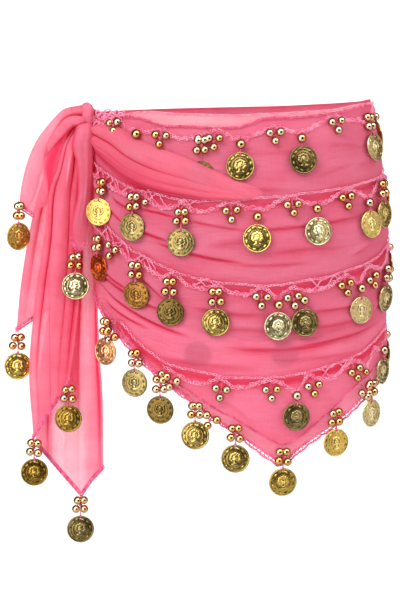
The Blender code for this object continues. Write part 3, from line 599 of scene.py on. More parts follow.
def fold_rise(angle, height):
    """How far the drape folds of the solids lift the cloth off the hip form."""
    rise = np.zeros(np.shape(angle))
    for *line, half_width, ridge in FOLDS:
        t, off = from_line(angle, height, line)
        inside = (t > 0) & (t < 1) & (np.abs(off) < half_width)
        swell = np.sin(np.pi * t) * np.cos(np.pi * off / half_width / 2) ** 2
        rise += np.where(inside, ridge * swell, 0.0)
    return rise


def crease_rise(angle, height):
    """Finer creases, soft above and steeper below, and how deep the colour goes at their steep foot, from
    bunched cloth and painted shade.
    """
    rise = np.zeros(np.shape(angle))
    bunch = np.zeros(np.shape(angle))
    soft = ease((angle + 10) / 40)
    for *line, bow, half_width, ridge, steep, held in CREASES:
        t, off = from_line(angle, height, line)
        across = (off - 4 * bow * t * (1 - t)) / half_width
        crest = -0.6 * steep
        reach = np.where(across > crest, 1 - crest, 1 + crest)
        hump = np.cos(np.clip((across - crest) / reach, -1, 1) * np.pi / 2) ** 2
        fade = ease((t + 0.3 * held) / 0.3) * ease((1 - t) / 0.4)
        rise += CREASE_SCALE * ridge * hump * fade
        foot = -1.0 if steep >= 0 else 1.0
        # Painted shade at the foot of each crease's steeper side.
        shaded_foot = bell((across - foot) / (0.62 - 0.35 * abs(steep) + 0.4 * soft))
        bunch += ridge / 2.6 * abs(steep) * shaded_foot * fade * (1 - 0.3 * soft)
    return rise, bunch


def gather_dip(angle, height):
    """How far each crochet row draws the cloth in along its upper line."""
    dip = np.zeros(np.shape(angle))
    for table, _, depth in GATHERS:
        line = along(table, angle)[0]
        held = (angle > table[0][0] - 4) & (angle < table[-1][0] + 6)
        dip += np.where(held, depth * bell((height - line + 3) / 6.0), 0.0)
    return dip


def cloth_points(angle, height, lift, creased=1.0):
    """Points at a given lift over the middle of the wound cloth."""
    angle, height = np.broadcast_arrays(np.asarray(angle, float), np.asarray(height, float))
    rise = fold_rise(angle, height) + lift
    if np.any(creased):
        rise = rise + creased * (crease_rise(angle, height)[0] - gather_dip(angle, height))
    return hip_points(angle, height) + hip_normals(angle, height) * rise[..., None]


# ---------------------------------------------------------------- meshes

def new_mesh(name, points, faces=(), edges=()):
    """Mesh of points in millimetres."""
    mesh = bpy.data.meshes.new(name)
    mesh.from_pydata((np.asarray(points, float).reshape(-1, 3) * MM).tolist(), edges, faces)
    return mesh


def add_object(name, mesh, *materials):
    """Put a mesh into the scene under a name."""
    obj = bpy.data.objects.new(name, mesh)
    for material in materials:
        mesh.materials.append(material)
    bpy.context.scene.collection.objects.link(obj)
    return obj


def give(mesh, key, values):
    """Give each point of a mesh a named value, or a named vector."""
    values = np.asarray(values, np.float32).ravel()
    vector = len(values) == 3 * len(mesh.vertices)
    layer = mesh.attributes.new(key, "FLOAT_VECTOR" if vector else "FLOAT", "POINT")
    layer.data.foreach_set("vector" if vector else "value", values)


def give_uv(mesh, across, down):
    """Give a cloth mesh its own width and length as its UV map."""
    corner = np.zeros(len(mesh.loops), np.int32)
    mesh.loops.foreach_get("vertex_index", corner)
    uv = np.stack([across.ravel()[corner], down.ravel()[corner]], -1)
    mesh.uv_layers.new(name="cloth").data.foreach_set("uv", uv.astype(np.float32).ravel())


def face_outwards(mesh):
    """Turn the faces of closed shapes outwards."""
    bm = bmesh.new()
    bm.from_mesh(mesh)
    bmesh.ops.recalc_face_normals(bm, faces=bm.faces)
    bm.to_mesh(mesh)
    bm.free()


def settle(obj):
    """Keep what an object's modifiers make as its plain mesh."""
    evaluated = obj.evaluated_get(bpy.context.evaluated_depsgraph_get())
    mesh = bpy.data.meshes.new_from_object(evaluated)
    obj.modifiers.clear()
    obj.data = mesh


def join(name, objects, material):
    """Join the meshes of objects into one object, all at the origin."""
    bm = bmesh.new()
    for obj in objects:
        bm.from_mesh(obj.data)
        bpy.data.objects.remove(obj)
    mesh = bpy.data.meshes.new(name)
    bm.to_mesh(mesh)
    bm.free()
    mesh.materials.clear()
    return add_object(name, mesh, material)


def grid_faces(row_count, column_count, closed=False):
    """Faces of a grid of points, seen from outside with its columns running to the right."""
    faces = []
    for j in range(row_count - 1):
        for i in range(column_count if closed else column_count - 1):
            right = (i + 1) % column_count
            faces.append((j * column_count + i, (j + 1) * column_count + i,
                          (j + 1) * column_count + right, j * column_count + right))
    return faces


def share_grid(row_count, column_count):
    """Shares down and across for the points of a sheet."""
    return np.meshgrid(np.linspace(0, 1, row_count), np.linspace(0, 1, column_count),
                       indexing="ij")


def length_along(points, axis):
    """Length from the first point of each line of a grid, in metres."""
    steps = np.linalg.norm(np.diff(points, axis=axis, prepend=points.take([0], axis)), axis=-1)
    return np.cumsum(steps, axis=axis) * MM


def cloth_sheet(name, points, material, bunch=0.0, dense=0.0):
    """Smooth thin cloth through a grid of points, with its own length and width as UV map."""
    mesh = new_mesh(name, points, grid_faces(*points.shape[:2]))
    fall = length_along(points, 0)
    run = length_along(points, 1).mean(axis=0, keepdims=True) + 0 * fall
    give_uv(mesh, run, fall)
    # The bunch value carries bunched cloth and painted shade.
    give(mesh, "bunch", np.clip(0 * fall + bunch, 0, 1))
    give(mesh, "dense", np.clip(0 * fall + dense, -1, 1))
    mesh.shade_smooth()
    obj = add_object(name, mesh, material)
    solidify = obj.modifiers.new("wall", "SOLIDIFY")
    solidify.thickness = WALL * MM
    solidify.offset = 0.0
    return obj


def finish_piece(obj, nodes=()):
    """Say what a piece rides on, and hide the solids it stands for."""
    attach(obj, "root")
    if nodes:
        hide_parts(*nodes)


def finish_sheet(obj, nodes=()):
    """Say the same of a piece of cloth."""
    finish_piece(obj, nodes)


# ---------------------------------------------------------------- growing repeats on points

def adder(tree, family):
    """Function that adds nodes to a tree: small letters are settings, the rest are inputs."""
    def add(kind, *places, **labels):
        made = tree.nodes.new(kind if "Node" in kind else family + kind)
        inputs = list(enumerate(places))
        for key, value in labels.items():
            if key[0].islower():
                setattr(made, key, value)
            else:
                inputs.append((key.replace("_", " "), value))
        for key, source in inputs:
            if isinstance(source, bpy.types.Node):
                source = source.outputs[0]
            if isinstance(source, bpy.types.NodeSocket):
                tree.links.new(source, made.inputs[key])
            else:
                made.inputs[key].default_value = source
        return made
    return add


def new_tree(name, **inputs):
    """Empty geometry tree with named inputs, its adder and the sockets of its inputs."""
    tree = bpy.data.node_groups.new(name, "GeometryNodeTree")
    for label, kind in {"Geometry": "Geometry", **inputs, "Material": "Material"}.items():
        tree.interface.new_socket(label, in_out="INPUT", socket_type="NodeSocket" + kind)
    tree.interface.new_socket("Geometry", in_out="OUTPUT", socket_type="NodeSocketGeometry")
    return tree, adder(tree, "GeometryNode"), tree.nodes.new("NodeGroupInput").outputs


def end_tree(tree, add, geometry, material):
    """Realize the instances, shade them smooth and give them their material."""
    real = add("RealizeInstances", Geometry=geometry)
    smooth = add("SetShadeSmooth", Geometry=real)
    add("NodeGroupOutput", add("SetMaterial", Geometry=smooth, Material=material))
    return tree


def point_value(add, name, kind="FLOAT_VECTOR"):
    """Named vector or value that the points carry."""
    return add("InputNamedAttribute", Name=name, data_type=kind).outputs["Attribute"]


def bead_tree():
    """Round beads on points, each with the radius that its point carries."""
    tree, add, given = new_tree("beads on points", Segments="Int", Rings="Int")
    ball = add("MeshUVSphere", Radius=1.0, Segments=given["Segments"], Rings=given["Rings"])
    placed = add("InstanceOnPoints", Points=given["Geometry"], Instance=ball,
                 Scale=point_value(add, "size", "FLOAT"))
    return end_tree(tree, add, placed, given["Material"])


def chain_tree():
    """Crochet chain along lines: one tilted yarn loop per stitch, leaning left and right in turn."""
    tree, add, given = new_tree("crochet chain", Pitch="Float", Length="Float", Width="Float",
                                Yarn="Float", Lean="Float")
    loop = add("CurvePrimitiveCircle", Resolution=10, Radius=0.5)
    size = add("ShaderNodeCombineXYZ", given["Length"], given["Width"], 1.0)
    tilt = (0.0, math.radians(-16), 0.0)
    shaped = add("Transform", Geometry=loop, Scale=size, Rotation=tilt)
    yarn = add("CurvePrimitiveCircle", Resolution=4, Radius=given["Yarn"])
    stitch = add("CurveToMesh", Curve=shaped, Profile_Curve=yarn)
    line = add("MeshToCurve", Mesh=given["Geometry"])
    points = add("CurveToPoints", Curve=line, Length=given["Pitch"], mode="LENGTH")
    on_line = add("FunctionNodeAxesToRotation", primary_axis="X", secondary_axis="Z",
                  Primary_Axis=points.outputs["Tangent"],
                  Secondary_Axis=point_value(add, "outward"))
    parity = add("ShaderNodeMath", add("InputIndex"), 2.0, operation="MODULO")
    side = add("ShaderNodeMath", parity, 2.0, -1.0, operation="MULTIPLY_ADD")
    lean = add("ShaderNodeMath", side, given["Lean"], operation="MULTIPLY")
    own = add("FunctionNodeEulerToRotation", Euler=add("ShaderNodeCombineXYZ", lean))
    both = add("FunctionNodeRotateRotation", Rotation=on_line, Rotate_By=own,
               rotation_space="LOCAL")
    placed = add("InstanceOnPoints", Points=points, Instance=stitch, Rotation=both)
    return end_tree(tree, add, placed, given["Material"])


def yarn_tree():
    """Round yarn along smooth lines."""
    tree, add, given = new_tree("loose yarn", Spacing="Float", Yarn="Float", Sides="Int")
    line = add("MeshToCurve", Mesh=given["Geometry"])
    smooth = add("CurveSplineType", Curve=line, spline_type="CATMULL_ROM")
    even = add("ResampleCurve", Curve=smooth, Length=given["Spacing"], mode="LENGTH")
    profile = add("CurvePrimitiveCircle", Resolution=given["Sides"], Radius=given["Yarn"])
    tube = add("CurveToMesh", Curve=even, Profile_Curve=profile, Fill_Caps=True)
    return end_tree(tree, add, tube, given["Material"])


def coin_tree():
    """Coins on points, each turned and toned as its point says."""
    tree, add, given = new_tree("coins on points", Coin="Object", Size="Float")
    coin = add("ObjectInfo", Object=given["Coin"])
    turned_to = add("FunctionNodeAxesToRotation", primary_axis="Z", secondary_axis="Y",
                    Primary_Axis=point_value(add, "outward"),
                    Secondary_Axis=point_value(add, "upward"))
    placed = add("InstanceOnPoints", Points=given["Geometry"],
                 Instance=coin.outputs["Geometry"], Rotation=turned_to, Scale=given["Size"])
    return end_tree(tree, add, placed, given["Material"])


def seeds(name, lines, **attributes):
    """Object of points joined along lines; attributes give each point a value or a vector."""
    lines = [np.asarray(line, float).reshape(-1, 3) for line in lines]
    starts = set(np.cumsum([len(line) for line in lines]).tolist())
    points = np.concatenate(lines)
    edges = [(i, i + 1) for i in range(len(points) - 1) if i + 1 not in starts]
    mesh = new_mesh(name, points, (), edges)
    for key, values in attributes.items():
        give(mesh, key, np.concatenate([np.ravel(value) for value in values]))
    return add_object(name, mesh)


def grow(obj, tree, **inputs):
    """Run a tree on an object and keep the result as its plain mesh."""
    modifier = obj.modifiers.new("grow", "NODES")
    modifier.node_group = tree
    sockets = {item.name: item.identifier for item in tree.interface.items_tree
               if item.item_type == "SOCKET" and item.in_out == "INPUT"}
    for label, value in inputs.items():
        modifier[sockets[label]] = value
    settle(obj)
    return obj


# ---------------------------------------------------------------- finishes

def new_material(name):
    """Material with an empty node tree, and its adder."""
    material = bpy.data.materials.new(name)
    material.use_nodes = True
    material.node_tree.nodes.clear()
    return material, adder(material.node_tree, "ShaderNode")


def surface_of(add, shader):
    """Make a shader the surface of its material."""
    add("OutputMaterial", Surface=shader)


def carried(add, name, kind="Fac"):
    """Named value or vector that the mesh carries."""
    return add("Attribute", attribute_name=name).outputs[kind]


def own_place(add):
    """Place on the piece itself."""
    return add("TexCoord").outputs["Object"]


def noise(add, place, scale, detail=2.0, stretch=(1, 1, 1)):
    """Noise on a place stretched by its own factors."""
    mapping = add("Mapping", Vector=place, Scale=stretch)
    return add("TexNoise", Vector=mapping, Scale=scale, Detail=detail).outputs["Fac"]


def ramp(add, factor, *stops):
    """Colour ramp through stops of position and colour."""
    made = add("ValToRGB", Fac=factor)
    elements = made.color_ramp.elements
    while len(elements) < len(stops):
        elements.new(0.5)
    for element, (place, colour) in zip(elements, stops):
        element.position = place
        element.color = (*colour, 1.0)
    return made


def level(add, factor, low, high):
    """Spread a 0 to 1 value between two levels."""
    return add("MapRange", Value=factor, To_Min=low, To_Max=high)


def mixed(add, share, first, second, **settings):
    """Mix of two colours."""
    return add("Mix", Factor=share, A=first, B=second, data_type="RGBA",
               **settings).outputs["Result"]


def times(colour, factors):
    """Colour with each part multiplied."""
    return tuple(c * k for c, k in zip(colour, factors))


def chiffon(name, solid, light, deep):
    """Sheer crepe chiffon: pink threads with open weave, denser and deeper in colour where its bunch value
    is high, which is bunched cloth and painted shade.
    """
    material, add = new_material(name)
    uv = add("UVMap", uv_map="cloth")
    bunch = carried(add, "bunch")
    mottle = noise(add, uv, 22.0, 3.0, (0.6, 1.5, 1))
    slub = noise(add, uv, 60.0, 3.0, (8, 1, 1))
    wrinkle = noise(add, uv, 34.0, 4.0, (1, 5, 1))
    crepe = noise(add, uv, 1500.0, 1.0)
    plain = ramp(add, mottle, (0.3, times(light, (0.97, 0.78, 0.84))),
                 (0.7, times(light, (1.0, 1.15, 1.12))))
    # Painted shade and bunched cloth both take the colour towards the deep one.
    colour = mixed(add, bunch, plain, (*deep, 1.0))
    height = add("Math", crepe, 0.035, wrinkle, operation="MULTIPLY_ADD")
    bump = add("Bump", Height=height, Strength=0.6, Distance=0.0035)
    surface = add("BsdfPrincipled", Base_Color=colour, Roughness=0.72, Specular_IOR_Level=0.18,
                  Sheen_Weight=0.1, Sheen_Roughness=0.4, Sheen_Tint=(1.0, 0.62, 0.72, 1.0),
                  Normal=bump)
    through = add("BsdfTranslucent", Color=colour, Normal=bump)
    threads = add("MixShader", 0.42, surface, through)
    holes = add("BsdfTransparent", Color=(1.0, 0.93, 0.945, 1.0))
    layers = add("Math", carried(add, "dense"), 0.32,
                 level(add, slub, solid - 0.05, solid + 0.05), operation="MULTIPLY_ADD")
    cover = add("Math", bunch, 0.38, layers, operation="MULTIPLY_ADD", use_clamp=True)
    surface_of(add, add("MixShader", cover, holes, threads))
    return material


def crochet_yarn(name, deep, light):
    """Soft twisted yarn with a fuzzy surface."""
    material, add = new_material(name)
    place = own_place(add)
    colour = ramp(add, noise(add, place, 160.0), (0.35, deep), (0.65, light))
    bump = add("Bump", Height=noise(add, place, 2600.0), Strength=0.5, Distance=0.0004)
    surface_of(add, add("BsdfPrincipled", Base_Color=colour, Roughness=0.8, Sheen_Weight=0.1,
                        Normal=bump))
    return material


def stamped_metal():
    """Thin plated metal, toned per coin, darker along the edges of the stamping and on its low field:
    tarnish in the hollows, and painted shade on the stamping's slopes.
    """
    material, add = new_material("stamped coin metal")
    stain = noise(add, own_place(add), 240.0, 4.0)
    tarnish_and_shade = ramp(add, carried(add, "slope"), (0.05, (1.0, 1.0, 1.0)),
                   (0.36, (0.66, 0.62, 0.52)), (0.75, (0.22, 0.16, 0.09)))
    wear = ramp(add, stain, (0.35, (0.55, 0.50, 0.42)), (0.62, (1.0, 1.0, 1.0)))
    toned = mixed(add, 1.0, carried(add, "tone", "Vector"), tarnish_and_shade, blend_type="MULTIPLY")
    worn = mixed(add, 0.55, toned, wear, blend_type="MULTIPLY")
    bump = add("Bump", Height=stain, Strength=0.25, Distance=0.0006)
    surface_of(add, add("BsdfPrincipled", Base_Color=worn, Metallic=1.0,
                        Roughness=level(add, stain, 0.22, 0.32), Normal=bump))
    return material


def mirror_plate():
    """Mirror plating of the plastic beads, paler on some and redder on others."""
    material, add = new_material("mirror bead plate")
    cloud = noise(add, own_place(add), 34.0)
    colour = ramp(add, cloud, (0.42, (0.56, 0.30, 0.11)), (0.58, (0.60, 0.42, 0.27)))
    surface_of(add, add("BsdfPrincipled", Base_Color=colour, Metallic=1.0,
                        Roughness=level(add, cloud, 0.05, 0.09),
                        Specular_Tint=(0.30, 0.14, 0.06, 1.0)))
    return material


# ---------------------------------------------------------------- camera, floor and light

def sun_light(name, place, power, spread):
    """Broad even lamp that shines from a place towards the scarf."""
    lamp = bpy.data.lights.new(name, "SUN")
    lamp.energy = power
    lamp.angle = math.radians(spread)
    obj = bpy.data.objects.new(name, lamp)
    obj.location = place
    obj.rotation_euler = (-Vector(place)).to_track_quat("-Z", "Y").to_euler()
    bpy.context.scene.collection.objects.link(obj)


def glow(name, colour, strength):
    """Lit screen of one colour."""
    material, add = new_material(name)
    surface_of(add, add("Emission", Color=(*colour, 1.0), Strength=strength))
    return material


def mirror_screens():
    """Screens round the scarf that show only in its metal: dark by the camera, bright round it."""
    # How many degrees from the camera's side each reaches, and its glow. The last takes the bright
    # one's place low down on the right.
    bands = (
        (31, glow("screen by the camera", (1.0, 0.8, 0.6), 0.03)),
        (38, glow("dim screen", (1.0, 0.84, 0.66), 0.9)),
        (70, glow("bright screen", (1.0, 0.98, 0.94), 6.7)),
        (96, glow("half lit screen", (1.0, 0.80, 0.60), 0.9)),
        (181, glow("shaded screen", (1.0, 0.38, 0.20), 0.09)),
        (181, glow("low screen", (1.0, 0.82, 0.62), 1.3)),
    )
    bright, low = 2, 5
    bm = bmesh.new()
    bmesh.ops.create_uvsphere(bm, u_segments=36, v_segments=90, radius=SCREEN_RADIUS,
                              matrix=Matrix.Rotation(math.radians(90), 4, "X"))
    for face in bm.faces:
        middle = face.calc_center_median()
        turn = math.degrees(middle.angle(Vector(SCREENS_FACE)))
        face.material_index = next(i for i, band in enumerate(bands) if turn < band[0])
        if face.material_index == bright and middle.z - 0.8 * middle.x < -0.45:
            face.material_index = low
    bmesh.ops.reverse_faces(bm, faces=bm.faces)
    mesh = bpy.data.meshes.new("mirror_screens")
    bm.to_mesh(mesh)
    bm.free()
    screens = add_object("mirror_screens", mesh, *(band[1] for band in bands))
    screens.visible_camera = False
    screens.visible_diffuse = False
    screens.visible_transmission = False
    screens.visible_shadow = False


def pale_floor():
    """Pale sweep of paper that rises far behind."""
    paper, add = new_material("floor paper")
    tint = ramp(add, noise(add, own_place(add), 3.0), (0.3, (0.93, 0.93, 0.925)),
                (0.7, (0.95, 0.95, 0.945)))
    surface_of(add, add("BsdfPrincipled", Base_Color=tint, Roughness=0.9))
    across = np.linspace(-14, 14, 3)
    sweep = [(-16.0, 0.0), (6.0, 0.0)]
    sweep += [(6 + 3 * math.sin(a), 3 - 3 * math.cos(a)) for a in np.linspace(0.1, 1.5, 14)]
    sweep += [(9.0, 9.0)]
    mesh = bpy.data.meshes.new("floor")
    mesh.from_pydata([(x, y, FLOOR_HEIGHT + z) for y, z in sweep for x in across], [],
                     [face[::-1] for face in grid_faces(len(sweep), len(across))])
    mesh.shade_smooth()
    add_object("floor", mesh, paper)


def studio():
    """Camera, soft surrounding light, floor, broad lamps and the screens."""
    camera = bpy.data.objects.new("camera", bpy.data.cameras.new("camera"))
    camera.data.lens = LENS
    camera.data.sensor_width = SENSOR
    camera.data.clip_end = VIEW_END
    camera.location = CAMERA_PLACE
    camera.rotation_euler = (math.radians(CAMERA_PITCH), 0.0, 0.0)
    bpy.context.scene.collection.objects.link(camera)
    bpy.context.scene.camera = camera

    world = bpy.data.worlds.new("pale studio")
    bpy.context.scene.world = world
    world.use_nodes = True
    back = world.node_tree.nodes["Background"]
    back.inputs["Color"].default_value = (1.0, 0.995, 0.985, 1.0)
    back.inputs["Strength"].default_value = 0.5

    pale_floor()
    sun_light("key from upper left", (-1.2, -1.6, 1.6), 2.05, 35)
    sun_light("fill from the right", (1.6, -1.4, 0.5), 1.3, 70)
    sun_light("glow from behind", (0.5, 1.8, 0.9), 1.2, 60)
    mirror_screens()


studio()

# Copies of one chiffon: the wound cloth's plain colour is darker, painted shade, and the ends' and the
# knot's are lighter, painted light. The last colour of each is the deep colour that the bunch value
# reaches, mostly painted shade.
CHIFFON = chiffon("sheer chiffon", 0.68, (0.88, 0.23, 0.365), (0.78, 0.03, 0.10))
CHIFFON_END = chiffon("sheer chiffon of the ends", 0.66, (0.98, 0.27, 0.40), (0.90, 0.04, 0.14))
CHIFFON_UNDER = chiffon("sheer chiffon inside", 0.88, (0.92, 0.20, 0.31), (0.75, 0.03, 0.09))
CHIFFON_FOLD = chiffon("sheer chiffon over", 0.80, (0.99, 0.26, 0.38), (0.84, 0.03, 0.11))
CHIFFON_CASING = chiffon("chiffon casing", 0.88, (0.98, 0.50, 0.58), (0.84, 0.055, 0.155))
CHIFFON_BUNCHED = chiffon("bunched chiffon", 0.90, (1.0, 0.27, 0.41), (0.88, 0.03, 0.12))
YARN = crochet_yarn("pink crochet yarn", (0.95, 0.15, 0.32), (1.0, 0.42, 0.60))
YARN_DEEP = crochet_yarn("deep pink yarn", (0.70, 0.035, 0.15), (0.94, 0.17, 0.36))
YARN_STITCH = crochet_yarn("stitching yarn", (0.66, 0.02, 0.11), (0.92, 0.10, 0.28))
# The bead thread's dark crimson is its own colour darkened with painted shade, as in the knots among each
# cluster's beads.
THREAD = crochet_yarn("dark bead thread", (0.40, 0.02, 0.06), (0.72, 0.10, 0.20))
METAL = stamped_metal()
PLATE = mirror_plate()
BEADS, CHAIN, LOOSE_YARN, COINS = bead_tree(), chain_tree(), yarn_tree(), coin_tree()

# ---------------------------------------------------------------- cloth

def bunching_and_painted_shade(angle, height, top, lift, creased):
    """How deep the wound cloth's colour goes, from bunching and painted shade: 1 in a full gather or deep
    shade, 0 where it lies flat.
    """
    outer = lift > INNER_TURN_LIFT
    bunch = crease_rise(angle, height)[1]
    # Painted shade under each row's chain.
    for table, reach, _ in GATHERS:
        line = along(table, angle)[0]
        held = (angle > table[0][0] - 4) & (angle < table[-1][0] + 4)
        below = bell((height - line + 0.75 * reach) / (0.65 * reach))
        bunch = bunch + np.where(held, 0.85 * below, 0)
    # Painted shade under the loose layer, and darker along the top edge.
    fold_edge = along(FOLD_EDGES, angle)[1]
    under_fold = bell((height - fold_edge + 3) / 4.5) * ease((-angle - 8) / 40)
    bunch = bunch + np.where(angle < 0, 0.8 * under_fold, 0)
    bunch = bunch + 0.6 * bell((top - height) / 3.0) * outer
    # Painted shade where the cloth overhangs, more so towards the knot.
    half_step = 0.8
    fall = (cloth_points(angle, height + half_step, lift, creased)
            - cloth_points(angle, height - half_step, lift, creased))
    overhang = (fall * hip_normals(angle, height)).sum(-1) / (2 * half_step)
    bunch = bunch + (0.4 + 0.9 * ease((-8 - angle) / 35)) * np.clip(overhang, 0, 1)
    # Painted shade, a little low down, and more beside the knot.
    bunch = bunch + 0.08 * ease((-120 - height) / 90)
    beside_knot = bell((angle + 87) / 9.0) * ease((-38 - height) / 15)
    return bunch + 1.1 * beside_knot * outer


def panel(edges, row_count, column_count, lift=0.0, creased=1.0):
    """Points of the wound cloth between its top edge and its hem, its bunching with painted shade, and how
    dense.
    """
    down, across = share_grid(row_count, column_count)
    top_angle, top, hem_angle, hem = along(numbered(edges), across * (len(edges) - 1))
    angle = top_angle + (hem_angle - top_angle) * down
    height = top + (hem - top) * down
    inner_line = along(HEM_INNER, angle)[0] if edges is FRONT_EDGES else hem + HEM_BAND
    dense = 0.5 * ease((height - inner_line) / 1.5)
    for coin_angle, coin_height in INNER_COINS:
        reach = np.hypot((angle - coin_angle) * GIRTH_PER_DEGREE, height - coin_height)
        dense = dense - CLEARING * ease((CLEARING_REACH - reach) / 4)
    bunch = bunching_and_painted_shade(angle, height, top, lift, creased)
    return cloth_points(angle, height, lift, creased), bunch, dense


def make_wound_cloth():
    """Front and back stretches, the inner turn and the casing of the top edge."""
    for node_name, edges, grid, depth, area in (
            ("wrap_front", FRONT_EDGES, (190, 225), 0.42, 0.150),
            ("wrap_back", BACK_EDGES, (110, 200), 0.29, 0.075)):
        points, bunch, dense = panel(edges, *grid)
        sheet = cloth_sheet(node_name + "_cloth", points, CHIFFON, bunch, dense)
        finish_sheet(sheet, [node_name])
    points, bunch, _ = panel(UNDER_EDGES, 80, 120, INNER_TURN_LIFT, 0.7)
    under = cloth_sheet("inner_turn_cloth", points, CHIFFON_UNDER, 0.6 * bunch)
    finish_sheet(under, ())

    down, across = share_grid(14, 150)
    first, last = CASING[0][0], CASING[-1][0]
    angle = first + (last - first) * across
    upper = along(TOP_CHAIN, angle)[0] + 1.5
    lower = along(CASING, angle)[0] - 0.6
    puff = 1.1 * np.sin(np.pi * down) * (1 + 0.3 * np.sin(across * 47) * np.sin(across * 31 + 1))
    points = cloth_points(angle, upper + (lower - upper) * down, 0.7 + puff)
    casing = cloth_sheet("top_casing", points, CHIFFON_CASING)
    finish_sheet(casing, ())


def make_front_fold():
    """Loose layer drawn from the knot in two rounded lobes, tucked in along both its edges."""
    row_count, column_count, roll = 84, 190, 8
    rounded, held_down = 0.07, 0.13
    down = (np.arange(-roll, row_count + roll) / (row_count - 1))[:, None]
    across = np.linspace(0, 1, column_count)
    first, last = FOLD_EDGES[0][0] - 2.5, FOLD_EDGES[-1][0]
    angle = first + (last - first) * across
    upper, lower = along(FOLD_EDGES, angle)
    nose = np.sqrt(np.clip(1 - ((rounded - across) / rounded).clip(0, 1) ** 2, 0.02, 1))
    end_fade = ease((1 - across) / 0.5)
    # The notch between the lobes runs down towards the right, where they grow together.
    notch = 0.43 + 0.20 * across
    split = 1 - 0.75 * ease(across / 0.9)
    flat = np.clip(down, 0, 1) + 0 * across
    in_upper = flat < notch
    share = np.where(in_upper, flat / notch, (flat - notch) / (1 - notch))
    swell = np.sin(np.pi * np.clip(share, 0, 1)) ** 0.6
    ridge = np.where(in_upper, 5.5 - 2.0 * across, 5.0 - 2.5 * across)
    base = np.sin(np.pi * flat) ** 0.5 * (2.5 + 1.5 * (1 - split))
    lift = 2.6 + (base + ridge * swell * (0.35 + 0.65 * split)) * end_fade
    # Painted shade along the notch between the lobes.
    bunch = split * bell((flat - notch) / 0.035) * end_fade
    # Fine grooves along the lobes, with painted shade in them.
    for place, drift, width, depth in ((0.26, 0.10, 0.06, 0.25), (0.72, 0.12, 0.05, 0.5),
                                       (0.88, -0.10, 0.05, 0.35)):
        line = bell((flat - place - drift * across) / width)
        lift = lift - depth * line * end_fade
        bunch = bunch + 0.12 * depth * line * end_fade
    # Painted shade over the lower lobe.
    bunch = bunch + 0.45 * ease((flat - notch) / 0.12) * end_fade
    height = upper + (lower - upper) * flat
    middle = upper + (lower - upper) * np.where(in_upper, notch / 2, (1 + notch) / 2)
    height = middle + (height - middle) * (0.25 + 0.75 * nose)
    lift = lift * (0.2 + 0.8 * nose)
    # Past both edges the layer rolls in under itself.
    past_edge = np.maximum(0, np.maximum(-down, down - 1))
    turn = np.minimum(1.0, past_edge * (row_count - 1) / roll)
    tucked_up = np.where(down < 0, 1, -1)
    lift = lift - 1.1 * (1 - np.cos(np.pi * turn))
    height = height + tucked_up * (1.3 * np.sin(np.pi * turn) - 4.0 * np.maximum(0, turn - 0.4))
    held = ease((1 - across) / held_down)
    lift = lift * held - 1.4 * (1 - held)
    points = cloth_points(angle, height, lift, 0.25 + 0.75 * (1 - held))
    # Painted shade where the layer overhangs.
    overhang = np.gradient(lift, axis=0) / np.gradient(height, axis=0)
    bunch = bunch + 0.55 * np.clip(overhang, 0, 1)
    fold = cloth_sheet("front_fold_cloth", points, CHIFFON_FOLD, bunch)
    finish_sheet(fold, ["front_fold"])


def make_crochet_bunch():
    """Crochet of both ends pulled together at the knot."""
    rng = np.random.default_rng(11)
    lines = []
    for start, end, spread, turns in KNOT_COILS:
        t = np.linspace(0, 1, turns * 6)
        wind = 2 * np.pi * turns * t
        reach = spread * (0.55 + 0.45 * np.sin(5.3 * t * np.pi + rng.uniform(0, 6)))
        angle = start[0] + (end[0] - start[0]) * t + reach * np.cos(wind) / GIRTH_PER_DEGREE * 1.6
        height = start[1] + (end[1] - start[1]) * t + reach * np.sin(wind)
        lift = 3.6 + 1.8 * np.sin(wind * 0.63 + rng.uniform(0, 6)) + rng.uniform(-0.4, 0.4, len(t))
        lines.append(cloth_points(angle, height, lift, 0.0))
    # Three short strands that hang over the knot.
    for x, z, y in ((-161, -13, -22), (-158.5, -24, -20), (-157, -17, -22)):
        t = np.linspace(0, 1, 40)
        lines.append(np.stack([x + 2.2 * np.cos(31 * t) + 2 * t, y - 0.8 * np.sin(17 * t),
                               z + 3.0 * np.sin(29 * t) - 5 * t], -1))
    bunch = seeds("knot_crochet", lines)
    grow(bunch, LOOSE_YARN, Spacing=0.0011, Yarn=BUNCHED_YARN * MM, Sides=5, Material=YARN)
    finish_piece(bunch)


